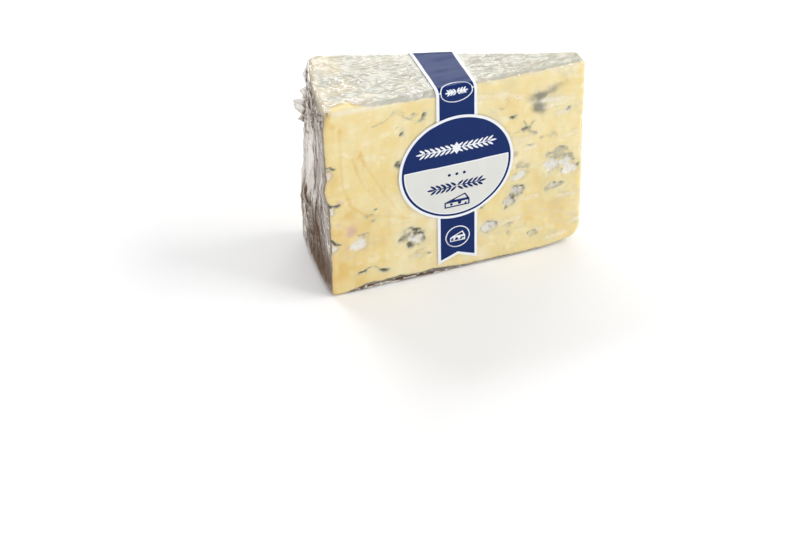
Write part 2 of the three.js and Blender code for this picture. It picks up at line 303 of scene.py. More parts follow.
# Adds one node: its settings, then its inputs, each a number, a colour or another node's output.
# Returns the output that is asked for.
def addNode(tree, kind, output, inputs, **settings):
    made = tree.nodes.new("ShaderNode" + kind)
    for name, value in settings.items():
        setattr(made, name, value)
    for name, value in inputs.items():
        if isinstance(value, bpy.types.NodeSocket):
            tree.links.new(value, made.inputs[name])
        else:
            made.inputs[name].default_value = value
    return made.outputs[output] if output is not None else None


# A new material with no nodes yet, and its node tree
def newMaterial(name):
    material = bpy.data.materials.new(name)
    material.use_nodes = True
    material.node_tree.nodes.clear()
    return material, material.node_tree


# A colour built up in layers over a first one. Each layer: the value that shows it, where it begins
# and where it is full, its strength, and its colour.
def layered(tree, colour, layers):
    for value, low, high, strength, over in layers:
        ends = {"Value": value, "From Min": low, "From Max": high, "To Max": strength}
        share = addNode(tree, "MapRange", "Result", ends, interpolation_type="SMOOTHSTEP")
        colour = addNode(tree, "Mix", 2, {0: share, 6: colour, 7: over}, data_type="RGBA")
    return colour


# Blue-veined cheese, ripened and cut: a moist, slightly see-through paste with blue-green mould in its
# pockets, and a bloomy rind that is pale on the top and brown on the rim
cheeseLook = {
    "cream": "#eadaa2",
    "butter": "#e8d28a",
    "milk": "#f2e8c6",
    "gold": "#e8ca7c",
    "deep": "#dcb656",
    "stain": "#ccc8a4",
    "smear": "#5c5d50",
    "veinSoft": "#a4a087",
    "veinDark": "#60573d",
    "mould": "#2e2610",
    "bloom": "#eae7e2",
    "bloomGrey": "#acb1a8",
    "blush": "#d2ab98",
    "rindPale": "#bfbdaa",
    "rindGreen": "#a8ab9c",
    "rindWarm": "#d5c8a6",
    "rindGrey": "#9c947f",
    "rindBrown": "#815f40",
    "rindUmber": "#543e2b",
    "rindDark": "#2f271a",
    "rindFleck": "#8d8a72",
}
# The noises of the material: size in mm, detail
cheeseNoises = {
    "cloud": (8.0, 3.0),
    "blotch": (4.2, 2.0),
    "mottle": (2.6, 3.0),
    "grain": (1.3, 3.0),
    "fine": (0.5, 2.0),
}
rindStreak = {"sizeMm": (3.2, 1.1, 1.4), "turn": 0.35, "detail": 3.0}
cheeseShine = {
    "roughness": 0.42,
    "specular": 0.3,
    "scatter": 0.25,
    "scatterMm": (2.4, 1.5, 0.7),
    "relief": 0.5,
    "reliefMm": 0.12,
}
def cheeseMaterial():
    look = {key: linear(value) for key, value in cheeseLook.items()}
    material, tree = newMaterial("blue-veined cheese, ripened paste and bloomy rind")
    names = (
        "vein", "bloom", "smear", "stain", "warm", "milky", "blush",
        "rind", "rindWarmth", "rindBrown", "rindDark",
    )
    field = {name: addNode(tree, "Attribute", "Fac", {}, attribute_name=name) for name in names}
    place = addNode(tree, "TexCoord", "Object", {})
    noise = {}
    for name, (sizeMm, detail) in cheeseNoises.items():
        settings = {"Vector": place, "Scale": 1 / (sizeMm * mm), "Detail": detail, "Roughness": 0.6}
        noise[name] = addNode(tree, "TexNoise", "Fac", settings)
    streakSize = [size * mm for size in rindStreak["sizeMm"]]
    slanted = {"Vector": place, "Rotation": (0, 0, rindStreak["turn"]), "Scale": streakSize}
    slanted = addNode(tree, "Mapping", 0, slanted, vector_type="TEXTURE")
    streak = {"Vector": slanted, "Scale": 1.0, "Detail": rindStreak["detail"]}
    noise["streak"] = addNode(tree, "TexNoise", "Fac", streak)
    # Pairs of a field and a noise, multiplied: where the field is weak, only the noise's peaks show
    pairs = {
        "filled": ("bloom", "grain"),
        "warmStreak": ("rindWarmth", "streak"),
        "browned": ("rindBrown", "mottle"),
        "flecked": ("rindDark", "grain"),
    }
    spots = {
        name: addNode(tree, "Math", 0, {0: field[first], 1: noise[second]}, operation="MULTIPLY")
        for name, (first, second) in pairs.items()
    }
    # The ragged edge of the mould is made by two noises
    rag = addNode(tree, "Math", 0, {0: noise["fine"], 1: 0.5, 2: -0.65}, operation="MULTIPLY_ADD")
    rag = addNode(tree, "Math", 0, {0: noise["grain"], 1: 0.8, 2: rag}, operation="MULTIPLY_ADD")
    pale = addNode(tree, "Math", 0, {0: rag, 1: 0.5, 2: field["bloom"]}, operation="MULTIPLY_ADD")
    dark = addNode(tree, "Math", 0, {0: field["vein"], 1: rag}, operation="ADD")
    paste = layered(tree, look["cream"], [
        (noise["cloud"], 0.36, 0.64, 1.0, look["butter"]),
        (noise["mottle"], 0.5, 0.7, 0.45, look["butter"]),
        (noise["blotch"], 0.54, 0.7, 0.55, look["milk"]),
        (noise["blotch"], 0.46, 0.3, 0.42, look["gold"]),
        (noise["grain"], 0.45, 0.8, 0.3, look["cream"]),
        (field["milky"], 0.0, 1.0, 0.85, look["milk"]),
        (field["warm"], 0.0, 1.0, 0.85, look["deep"]),
        (field["stain"], 0.05, 0.9, 0.75, look["stain"]),
        (field["blush"], 0.0, 1.0, 1.0, look["blush"]),
        (pale, 0.25, 0.75, 1.0, look["bloom"]),
        (spots["filled"], 0.38, 0.6, 0.6, look["bloomGrey"]),
        (field["smear"], 0.05, 1.0, 0.85, look["smear"]),
        (dark, 0.1, 0.55, 0.8, look["veinSoft"]),
        (dark, 0.45, 0.9, 0.9, look["veinDark"]),
        (dark, 0.85, 1.15, 0.9, look["mould"]),
    ])
    rind = layered(tree, look["rindPale"], [
        (noise["streak"], 0.46, 0.6, 0.8, look["rindGreen"]),
        (noise["cloud"], 0.52, 0.7, 0.4, look["rindWarm"]),
        (spots["warmStreak"], 0.12, 0.42, 0.9, look["rindWarm"]),
        (noise["grain"], 0.58, 0.72, 0.4, look["rindGrey"]),
        (field["rindBrown"], 0.0, 1.0, 1.0, look["rindBrown"]),
        (spots["browned"], 0.42, 0.62, 0.8, look["rindUmber"]),
        (field["rindDark"], 0.0, 1.0, 1.0, look["rindDark"]),
        (spots["flecked"], 0.5, 0.62, 0.8, look["rindFleck"]),
    ])
    # The rind's edge is where its thickness runs out, made uneven by the grain
    uneven = addNode(tree, "Math", 0, {0: noise["grain"], 1: 1.2, 2: -0.6}, operation="MULTIPLY_ADD")
    edge = addNode(tree, "Math", 0, {0: field["rind"], 1: uneven}, operation="ADD")
    colour = layered(tree, paste, [(edge, -0.3, 0.3, 1.0, rind)])
    relief = {
        "Height": noise["grain"],
        "Distance": cheeseShine["reliefMm"] * mm,
        "Strength": cheeseShine["relief"],
    }
    shader = addNode(tree, "BsdfPrincipled", 0, {
        "Base Color": colour,
        "Roughness": cheeseShine["roughness"],
        "Specular IOR Level": cheeseShine["specular"],
        "Subsurface Weight": cheeseShine["scatter"],
        "Subsurface Radius": [size * mm for size in cheeseShine["scatterMm"]],
        "Subsurface Scale": 1.0,
        "Normal": addNode(tree, "Bump", 0, relief),
    })
    addNode(tree, "OutputMaterial", None, {"Surface": shader})
    return material


# Clear stretch film, blown and drawn tight: it mirrors the lamps along each fold. Where it is crumpled
# its many faces scatter a thin pale haze. The haze also carries painted light: where the fold is -1 it
# is white, a painted highlight on taut creases and crinkles, and where it is 1 it is brown, for several
# layers over the dark rind and as painted shade in folds and crumples.
filmLook = {
    "haze": "#e4ddd5",
    # the brown of several layers, also used as painted shade in folds; the glint is a painted highlight
    "fold": "#614731",
    "glint": "#ffffff",
    "roughness": 0.13,
    "mirrorAtNormal": 0.07,  # share mirrored looking straight on, by both its faces together
    "mirrorAtEdge": 0.12,    # added to that at a glancing look
    "mirrorSteepness": 5.0,  # how suddenly it grows towards that
    "mirrorLostInFolds": 0.8,
    "wrinkleMm": (2.4, 0.8, 2.4),
    "relief": 0.25,
    "reliefMm": 0.1,
    "crackleScale": 1.1,     # how many times as fine as the wrinkles it is
}
def filmMaterial():
    material, tree = newMaterial("clear stretch film, drawn tight")
    place = addNode(tree, "TexCoord", "Object", {})
    scale = [1 / (size * mm) for size in filmLook["wrinkleMm"]]
    long = addNode(tree, "Mapping", 0, {"Vector": place, "Scale": scale})
    wrinkle = addNode(tree, "TexNoise", "Fac", {"Vector": long, "Scale": 1.0, "Detail": 1.0})
    relief = {"Height": wrinkle, "Distance": filmLook["reliefMm"] * mm, "Strength": filmLook["relief"]}
    normal = addNode(tree, "Bump", 0, relief)
    glancing = addNode(tree, "LayerWeight", "Facing", {"Blend": 0.5, "Normal": normal})
    steep = addNode(tree, "Math", 0, {0: glancing, 1: filmLook["mirrorSteepness"]}, operation="POWER")
    share = {0: steep, 1: filmLook["mirrorAtEdge"], 2: filmLook["mirrorAtNormal"]}
    mirrored = addNode(tree, "Math", 0, share, operation="MULTIPLY_ADD")
    folded = addNode(tree, "Attribute", "Fac", {}, attribute_name="fold")
    lost = {"Value": folded, "To Min": 1.0, "To Max": 1 - filmLook["mirrorLostInFolds"]}
    kept = addNode(tree, "MapRange", "Result", lost)
    mirrored = addNode(tree, "Math", 0, {0: mirrored, 1: kept}, operation="MULTIPLY")
    white = linear("#ffffff")
    clear = addNode(tree, "BsdfTransparent", 0, {"Color": white})
    shine = {"Color": white, "Roughness": filmLook["roughness"], "Normal": normal}
    mirror = addNode(tree, "BsdfAnisotropic", 0, shine, distribution="GGX")
    tone = layered(tree, linear(filmLook["haze"]), [
        (folded, 0.0, 1.0, 1.0, linear(filmLook["fold"])),
        (folded, 0.0, -1.0, 1.0, linear(filmLook["glint"])),
    ])
    veil = addNode(tree, "BsdfDiffuse", 0, {"Color": tone, "Normal": normal})
    haze = addNode(tree, "Attribute", "Fac", {}, attribute_name="haze")
    crackle = {"Vector": long, "Scale": filmLook["crackleScale"], "Detail": 1.0}
    crackle = addNode(tree, "TexNoise", "Fac", crackle)
    ends = {"Value": crackle, "From Min": 0.34, "From Max": 0.66, "To Min": 0.75, "To Max": 1.2}
    broken = addNode(tree, "MapRange", "Result", ends)
    haze = addNode(tree, "Math", 0, {0: haze, 1: broken}, operation="MULTIPLY", use_clamp=True)
    body = addNode(tree, "MixShader", 0, {0: haze, 1: clear, 2: veil})
    surface = addNode(tree, "MixShader", 0, {0: mirrored, 1: body, 2: mirror})
    addNode(tree, "OutputMaterial", None, {"Surface": surface})
    return material


# Coated label paper, printed in two inks and satin varnished: crisp edges and a soft broad sheen
labelLook = {
    "paper": "#e9ecf1",
    "pale": "#d9d9d5",
    "navy": "#122860",
    "roughness": 0.22,
    "specular": 0.16,
    "sheen": "#d8ecff",
    "inkEdgeMm": 0.05,       # in which the ink fades out
    "fibreMm": 0.6,
    "relief": 0.3,
    "reliefMm": 0.01,
}
def labelMaterial(name):
    material, tree = newMaterial(name)
    edge = labelLook["inkEdgeMm"]
    paleInk = addNode(tree, "Attribute", "Fac", {}, attribute_name="paleInk")
    navyInk = addNode(tree, "Attribute", "Fac", {}, attribute_name="navyInk")
    colour = layered(tree, linear(labelLook["paper"]), [
        (paleInk, -edge, edge, 1.0, linear(labelLook["pale"])),
        (navyInk, -edge, edge, 1.0, linear(labelLook["navy"])),
    ])
    place = addNode(tree, "TexCoord", "Object", {})
    fibre = {"Vector": place, "Scale": 1 / (labelLook["fibreMm"] * mm), "Detail": 2.0}
    fibre = addNode(tree, "TexNoise", "Fac", fibre)
    relief = {"Height": fibre, "Distance": labelLook["reliefMm"] * mm, "Strength": labelLook["relief"]}
    shader = addNode(tree, "BsdfPrincipled", 0, {
        "Base Color": colour,
        "Roughness": labelLook["roughness"],
        "Specular IOR Level": labelLook["specular"],
        "Specular Tint": linear(labelLook["sheen"]),
        "Normal": addNode(tree, "Bump", 0, relief),
    })
    addNode(tree, "OutputMaterial", None, {"Surface": shader})
    return material


# The wedge's outer form

# The outline from above: a sector with a blunt tip, its four corners rounded, walked anticlockwise.
# Each column has its place x, y, its outward normal nx, ny, and its foot on the spine, the line along
# the middle of the top where the columns from the front and the back meet.
def outline(counts):
    big, length = wedge["wheelRadius"], wedge["cutLength"]
    sine, cosine = math.sin(wedge["angle"]), math.cos(wedge["angle"])
    frontR, tipR, rimR = wedge["cutEdge"], wedge["backTipEdge"], wedge["backRimEdge"]
    frontAway = math.sqrt((big - frontR) ** 2 - frontR ** 2)  # from the wheel's middle to a corner's
    backAway = math.sqrt((big - rimR) ** 2 - rimR ** 2)
    frontRim = (big - frontAway, frontR)
    frontTip = (length - frontR, frontR)
    backTip = (length - tipR, ((big + tipR - length) * sine - tipR) / cosine)
    backRim = (big - rimR * sine - backAway * cosine, -rimR * cosine + backAway * sine)

    half = wedge["angle"] / 2
    rimAway = big / (1 + math.sin(half))
    tipAway = (big - length) / (math.cos(half) - math.sin(half))
    rimFoot = (big - rimAway * math.cos(half), rimAway * math.sin(half))
    tipFoot = (big - tipAway * math.cos(half), tipAway * math.sin(half))

    def bearing(point):
        return math.atan2(point[1], point[0] - big)

    def straight(start, startR, end, endR, normal, count, feet):
        t = np.arange(count) / count
        x = blend(start[0] + startR * normal[0], end[0] + endR * normal[0], t)
        y = blend(start[1] + startR * normal[1], end[1] + endR * normal[1], t)
        return np.stack(np.broadcast_arrays(x, y, normal[0], normal[1], feet(t)))

    def arc(centre, radius, start, end, count, foot):
        angle = start + (end - start) * np.arange(count) / count
        normalX, normalY = np.cos(angle), np.sin(angle)
        x = centre[0] + radius * normalX
        y = centre[1] + radius * normalY
        return np.stack(np.broadcast_arrays(x, y, normalX, normalY, foot))

    quarter = math.pi / 2
    backBearing = quarter - wedge["angle"]
    columns = np.concatenate((
        straight(frontRim, frontR, frontTip, frontR, (0, -1), counts["front"], lambda t: t),
        arc(frontTip, frontR, -quarter, 0, counts["corner"], 1.0),
        straight(frontTip, frontR, backTip, tipR, (1, 0), counts["tip"], lambda t: t * 0 + 1),
        arc(backTip, tipR, 0, backBearing, counts["corner"], 1.0),
        straight(backTip, tipR, backRim, rimR, (sine, cosine), counts["back"], lambda t: 1 - t),
        arc(backRim, rimR, backBearing, bearing(backRim), counts["corner"], 0.0),
        arc((big, 0), big, bearing(backRim), bearing(frontRim), counts["rim"], 0.0),
        arc(frontRim, frontR, bearing(frontRim), 3 * quarter, counts["corner"], 0.0),
    ), axis=1)
    x, y, normalX, normalY, foot = columns
    footX = blend(rimFoot[0], tipFoot[0], foot)
    footY = blend(rimFoot[1], tipFoot[1], foot)
    return x, y, normalX, normalY, footX, footY


# The rows up the wedge: height, how far drawn in from the outline, share of the way to the spine, and
# how much the surface there looks outwards (side) and upwards (up)
def profile(counts):
    low, high, height = wedge["bottomEdge"], wedge["topEdge"], wedge["height"]

    def stretch(z, inset, toSpine, side, up):
        return np.stack(np.broadcast_arrays(z, inset, toSpine, side, up)).astype(float)

    foot = (np.arange(counts["bottomEdge"]) / counts["bottomEdge"] - 1) * math.pi / 2
    climb = np.arange(counts["side"]) / counts["side"]
    turn = np.arange(counts["topEdge"]) / counts["topEdge"] * math.pi / 2
    under = np.arange(counts["under"]) / counts["under"]
    inwards = np.arange(counts["top"] + 1) / counts["top"]
    edgeTop = height - high + high * np.sin(turn)
    rows = np.concatenate((
        stretch(0.0, low, 1 - under, 0.0, -1.0),
        stretch(low + low * np.sin(foot), low - low * np.cos(foot), 0.0, np.cos(foot), np.sin(foot)),
        stretch(blend(low, height - high, climb), 0.0, 0.0, 1.0, 0.0),
        stretch(edgeTop, high - high * np.cos(turn), 0.0, np.cos(turn), np.sin(turn)),
        stretch(height, high, inwards, 0.0, 1.0),
    ), axis=1)
    return rows[:, :, None]


# How far the underside and the lower part of the tip are lifted off the floor:
# rise * along^2 + cornerHeight * (1 - sqrt(1 - past^2)), less with height. The corner at the rim is
# rounded in the same way.
def liftAt(x, z):
    along = np.maximum((x - tipLift["start"]) / (wedge["cutLength"] - tipLift["start"]), 0)
    past = np.clip((x - wedge["cutLength"]) / tipLift["cornerLength"] + 1, 0, tipLift["cornerShare"])
    lift = tipLift["rise"] * along ** 2 + tipLift["cornerHeight"] * (1 - np.sqrt(1 - past ** 2))
    lift = lift * np.clip(1 - z / tipLift["reach"], 0, 1)
    short = np.clip(1 - x / footCorner["length"], 0, 1)
    rounded = footCorner["height"] * (1 - np.sqrt(1 - short ** 2))
    return lift + rounded * np.clip(1 - z / footCorner["reach"], 0, 1)


# How squarely a point has to face outwards to count as on the cuts and on the rim, from not at all to
# fully, and past which it is on the tip
facing = {"cut": (0.5, 0.9), "rim": (0.6, 0.95), "tip": 0.9}
# The outer form on a grid, drawn in by the skin, with what later shapes need at every point
def outerForm(counts, skin):
    x, y, normalX, normalY, footX, footY = outline(counts)
    z, inset, toSpine, side, up = profile(counts)
    ringX = x - inset * normalX
    ringY = y - inset * normalY
    sine = math.sin(wedge["angle"])
    cosine = math.cos(wedge["angle"])
    big = wedge["wheelRadius"]
    normalX, normalY, side, up = np.broadcast_arrays(normalX[None, :], normalY[None, :], side, up)
    form = SimpleNamespace(
        x=blend(ringX, footX, toSpine) - skin * normalX * side,
        y=blend(ringY, footY, toSpine) - skin * normalY * side,
        overFoot=np.broadcast_to(z, normalX.shape) - skin * up,
        outlineX=np.broadcast_to(x, normalX.shape),
        outlineY=np.broadcast_to(y, normalX.shape),
        normalX=normalX,
        normalY=normalY,
        side=side,
        up=up,
        toSpine=np.broadcast_to(toSpine, normalX.shape),
    )
    form.z = form.overFoot + liftAt(form.x, form.overFoot)
    form.inFromBack = (big - form.x) * sine - form.y * cosine
    form.inFromRim = big - np.hypot(form.x - big, form.y)
    swell = np.interp(form.z, rimSwell["heights"], rimSwell["depths"])
    swell = swell * smoothStep(form.y, rimSwell["reachOnRim"], rimSwell["fullOnRim"])
    form.x = form.x - swell * smoothStep(form.inFromRim, rimSwell["reachOnCut"], 0)
    form.facesFront = smoothStep(-normalY, *facing["cut"])
    form.facesBack = smoothStep(normalX * sine + normalY * cosine, *facing["cut"])
    form.facesBack = form.facesBack * (normalX < facing["tip"])
    form.facesRim = smoothStep(-normalX, *facing["rim"])
    return form


# The points of a form, raised along the surface and pushed outwards
def raised(form, height, outwards=0.0):
    sideways = outwards + height * form.side
    x = form.x + form.normalX * sideways
    y = form.y + form.normalY * sideways
    return np.stack((x, y, form.z + height * form.up), axis=-1)


# 0 on and close round a label, 1 well away from it
def awayFromLabels(form, margin, fade):
    x, z = form.x, form.z
    right = band["left"] + band["width"]
    besideBand = np.maximum(np.maximum(band["left"] - x, x - right), 0)
    fromDisc = np.maximum(np.hypot(x - disc["centre"][0], z - disc["centre"][1]) - disc["radius"], 0)
    underBand = np.maximum(band["tipHeight"] - z, 0)
    onFront = np.minimum(np.hypot(besideBand, underBand), fromDisc)
    slant = band["dropAtBack"] * math.tan(wedge["angle"])
    besideAtBack = np.maximum(np.maximum(band["left"] - slant - x, x - right), 0)
    underAtBack = np.maximum(wedge["height"] - band["calmAtBack"] * band["dropAtBack"] - z, 0)
    onBack = np.hypot(besideAtBack, underAtBack)
    away = np.where(form.normalY > 0, onBack, onFront)
    away = np.where(form.up > 0.5, besideBand, away)
    return smoothStep(away, margin, margin + fade)


# The soft unevenness that the cuts and their film share: a product of two long waves
cutSwell = {
    "depth": 0.22,
    "sizeX": 9.7,            # of a radian of each wave
    "sizeZ": 8.6,
    "phase": 0.6,
    "slantSize": 31.0,
    "overFoot": (2.7, 8.1),  # it grows between these heights
    "labelMargin": 3.4,
    "labelFade": 3.5,
}
def softSwell(form):
    wave = np.sin(form.x / cutSwell["sizeX"] + cutSwell["phase"])
    wave = wave * np.sin(form.z / cutSwell["sizeZ"] + form.x / cutSwell["slantSize"])
    onCut = (1 - form.facesRim) * np.abs(form.normalY) * form.side ** 2
    onCut = onCut * smoothStep(form.overFoot, *cutSwell["overFoot"])
    away = awayFromLabels(form, cutSwell["labelMargin"], cutSwell["labelFade"])
    return cutSwell["depth"] * wave * onCut * away


# The bag of film beside the back upright edge: how far it stands out at a few heights. Low down the
# soft cheese has sagged into it.
bag = {
    "heights": (0.0, 10.0, 24.0, 30.0, 44.0, 58.0),
    "depths": (2.4, 4.5, 4.7, 3.1, 2.4, 0.0),
    "reachOnRim": 33.0,
    "reachOnBack": 8.0,
    "squareToRim": 0.9,      # how squarely a point has to face the rim to count as wholly on it
    "shareOnBack": 0.3,
    "footFlare": 1.4,        # how far it spreads along the foot of the rim
    "footFlareTop": (9.0, 2.0),  # it grows between these heights
    "footFlareBack": (-4.0, 8.0),  # and between these places towards the back
    "rounding": 3.0,         # mm by which the steps of its depth are rounded
    "filled": 0.85,          # share of it that the cheese fills at the foot
    "fullBelow": 20.0,
    "emptyAbove": 33.0,
}
# The depth at that height, dying away smoothly with the distance from the edge
def bagDepth(form):
    big = wedge["wheelRadius"]
    z = form.overFoot
    cornerX = big * (1 - math.cos(wedge["angle"]))
    cornerY = big * math.sin(wedge["angle"])
    away = np.hypot(form.outlineX - cornerX, form.outlineY - cornerY)
    facesRim = smoothStep(-form.normalX, -math.sin(wedge["angle"]), bag["squareToRim"])
    near = 1 - smoothStep(away, 0, blend(bag["reachOnBack"], bag["reachOnRim"], facesRim))
    steps = [step * bag["rounding"] for step in (-1, 0, 1)]
    depth = np.mean([np.interp(z + step, bag["heights"], bag["depths"]) for step in steps], axis=0)
    flare = smoothStep(form.outlineY, *bag["footFlareBack"]) * smoothStep(z, *bag["footFlareTop"])
    flare = bag["footFlare"] * flare * facesRim
    depth = depth * near * blend(bag["shareOnBack"], 1, facesRim) + flare
    return depth, away, facesRim


# The cheese inside the film
cheese = {
    "skin": 0.2,             # how far its surface lies inside the film's
    "underPleats": 0.4,      # and how much further on the rim
    "counts": {
        "front": 240, "corner": 8, "tip": 8, "back": 120, "rim": 56,
        "under": 8, "bottomEdge": 4, "side": 165, "topEdge": 6, "top": 26,
    },
    "wander": 0.9,           # mm by which the outlines of pockets wander
    "wanderSize": 2.1,
    "wanderFine": 0.35,      # share of a finer wander on top of it
    "wanderFineSize": 0.8,
    "wanderSeeds": (11, 12),
    "lineWander": 0.6,       # share of it by which smears and veins wander
    "veinDepth": 0.4,        # mm deep for each 1 of its darkness
    "strewnAtBack": (21, 34, (7, 86), (5, 66)),  # seed, number, and between which places and heights
    "strewnAtTip": (22, 6, (0, 8), (9, 66)),
    "creaseWidth": 0.55,
    "creaseDepth": 0.1,
    "rough": 0.06,
    "rindRelief": 0.16,
    "brownBelow": (70, 72.4),  # the rind turns brown below this height, on the corners and on the rim
    "brownFade": 3,
}
# How a pocket looks, in its own half sizes from its middle. Its border is strongest on the upper side and
# it has a shaded spot in its upper right: both are painted shade under the pocket's upper lip.
pocketLook = {
    "fillEnds": (1.3, 0.6),  # its filling grows between these
    "border": 0.95,          # where its border lies
    "borderWidth": 0.3,
    "borderBelow": 0.45,     # how strong the border is on the lower side
    "upperSlant": 0.4,
    "upperEnds": (-0.3, 0.7),
    "shade": (0.3, 0.8),     # where a shaded spot lies in its upper right
    "shadeSize": 0.5,
    "coreEnds": (1.6, 0.2),
    "coreBroken": 0.6,
    "stain": 0.7,
    "stainSize": 2.0,
    "depth": 0.7,            # mm for each mm of its half width
    "deepest": 1.3,          # half width in mm past which it gets no deeper
}
# The noises of the cheese: seed, and size in mm along x, y and z
cheeseGrain = {
    "broken": (13, 1.1, 1.1, 1.1),
    "patchy": (15, 0.9, 0.9, 0.9),
    "marbled": (17, 9, 9, 9),
    "soft": (31, 6, 3, 6),
    "softer": (32, 2.2, 1.6, 2.2),
    "blotched": (33, 4.5, 4.5, 3.4),
    "banded": (34, still, still, 4.5),
    "milky": (36, 6, 4, 5),
    "rough": (41, 2.5, 2.5, 2.5),
    "rindRelief": (42, 4, 2, 3),
}
# Zones of the cheese: a measure, and the values at which it is 0 and 1
cheeseZones = {
    "top": [("up", 0.05, 0.5)],
    "tip": [("normalX", 0.6, 0.95)],
    "marbled": [("inFromRim", 30, 62)],
    "lowOnRim": [("z", 64, 34)],
    "creased": [("x", 36, 24)],
    "byRim": [("inFromRim", 26, 3), ("z", 60, 20)],
    "atRim": [("inFromRim", 2.6, 0.6)],
    "blotched": [("inFromRim", 44, 6), ("z", 58, 16)],
    "low": [("z", 12, 2)],
    "streaked": [("x", 40, 24)],
    "milky": [("x", 14, 32)],
    "milkyPatch": [("x", 15, 24), ("x", 52, 38), ("z", 36, 24)],
    "sharpEdge": [("x", 1.5, 4)],
    "sharpEdgeLeft": [("x", 30, 12)],
    "warmRind": [("x", 30, 2)],
    "darkFoot": [("overFoot", 4, 2.2), ("inFromRim", 1, 4)],
    "filledBag": [("overFoot", bag["emptyAbove"], bag["fullBelow"])],
}
# Pockets of mould on the front cut: x, z, half length, half width, tilt in degrees, then how dark the
# middle and the border are and how pale the filling is
frontPockets = [
    (64, 55.4, 0.9, 0.8, 0, 1, 0, 0), (68.4, 50.8, 1.2, 0.8, 25, 0.95, 0, 0),
    (83.6, 54.6, 1.2, 0.7, 5, 0.9, 0, 0.1), (81.8, 53.4, 2.4, 0.7, 5, 0.1, 0.1, 0.55),
    (61.5, 61.8, 1.5, 0.8, 30, 0.3, 0.3, 0.3), (59.4, 59.8, 1.1, 0.6, 25, 0.4, 0.1, 0.1),
    (77, 45.2, 2.6, 0.9, 5, 0.25, 0.2, 0.4), (74.4, 44.8, 1, 0.6, 5, 0.6, 0, 0),
    (69.9, 43.2, 1.6, 0.5, 0, 0.5, 0, 0), (66.2, 36.4, 1.8, 1.6, 0, 0.4, 0.2, 0.35),
    (79.6, 38.2, 3.6, 1.7, 6, 0.45, 0.7, 0.5), (82.4, 36.6, 2.4, 1.3, -12, 0.5, 0.5, 0.3),
    (77.4, 33.8, 3, 2.9, 0, 0, 0.45, 0.8), (82.8, 33.6, 3.2, 2.1, -8, 0, 0.5, 0.76),
    (84.2, 30.4, 3.3, 2.3, 10, 0, 0.3, 0.8), (87.2, 31.8, 0.9, 0.8, 0, 0.85, 0, 0),
    (81.2, 29.2, 1.5, 1.4, 20, 0.1, 0.5, 0.5), (78.8, 25, 3.1, 1.3, 14, 0.2, 0.9, 0.7),
    (65.2, 26.4, 2.2, 1.8, 25, 0.34, 1.1, 0.9), (63, 22.6, 1.7, 2.3, -15, 0.36, 0.9, 0.85),
    (62, 20.2, 1.1, 0.9, 40, 0.85, 0, 0), (65.4, 32, 3.6, 1.6, 18, 0.1, 0.4, 0.75),
    (68.8, 35.4, 1.4, 1.1, 30, 0.45, 0.2, 0.3), (55.8, 14.2, 3, 1.9, 16, 0.24, 1, 0.95),
    (62.7, 12.8, 1.3, 1.1, 0, 0.1, 0.8, 0.6), (62.2, 9.4, 0.8, 1.4, 0, 0.45, 0, 0),
    (71.4, 7.8, 1.7, 1.2, 10, 0.1, 0.9, 0.6), (53.6, 23.2, 1.2, 0.9, 60, 0.8, 0, 0.1),
    (33.4, 62.9, 0.8, 1.5, -25, 1.1, 0, 0), (32.2, 61.4, 1.8, 0.6, 10, 0.7, 0, 0),
    (29.6, 64.2, 1.1, 0.8, 0, 0.2, 0.6, 0.3), (24, 66, 2.4, 1, -5, 0.35, 0.2, 0.2),
    (25.7, 58.8, 0.8, 0.8, 0, 1, 0, 0), (24.3, 60.8, 1.3, 0.8, -30, 0.3, 0, 0.2),
    (24.4, 46.9, 1.1, 1, 0, 0.9, 0, 0), (19.2, 39.2, 0.8, 0.6, 0, 0.4, 0, 0),
    (15.6, 31.5, 0.7, 0.5, 0, 0.85, 0, 0), (15.6, 26.8, 1.8, 0.7, 5, 0.35, 0, 0.2),
    (13.4, 28.6, 1.8, 0.6, 5, 0.35, 0, 0.3), (0.2, 47.9, 1.3, 1.7, 0, 0, 0.1, 0.7),
    (1.2, 49.6, 1.3, 0.5, 10, 0.8, 0, 0), (1.2, 34, 1.4, 1.6, 0, 0, 0.1, 0.8),
    (0.8, 18.8, 1.6, 1.9, 0, 0, 0.1, 0.8), (9.6, 18.1, 3.3, 1.9, 12, 0, 0, 0.78),
    (10.6, 19.7, 2.2, 1.4, 10, 0, 0.1, 0.78), (12, 21, 1.5, 0.9, 40, 0.2, 0.4, 0.4),
    (28.4, 18.6, 2.9, 2, -20, 0.2, 0.9, 0.6), (29.8, 16.2, 3.2, 2, -8, 0.1, 1, 0.9),
    (28, 14, 1.5, 0.9, 10, 1, 0, 0), (24.8, 17.4, 1, 1.6, -40, 0.75, 0, 0.3),
    (29.6, 8.8, 2.9, 1.1, 10, 0.2, 0.3, 0.5), (34.2, 8.9, 1.5, 0.5, 6, 0.9, 0, 0),
    (31, 11.2, 2.2, 0.7, 12, 0.35, 0, 0.2), (11.3, 7.9, 1.5, 0.55, 18, 1.3, 0, 0),
    (17.9, 6.1, 1.5, 0.7, -20, 1.5, 0, 0), (14.6, 7.6, 2.4, 0.8, 0, 0.1, 0, 0.45),
]
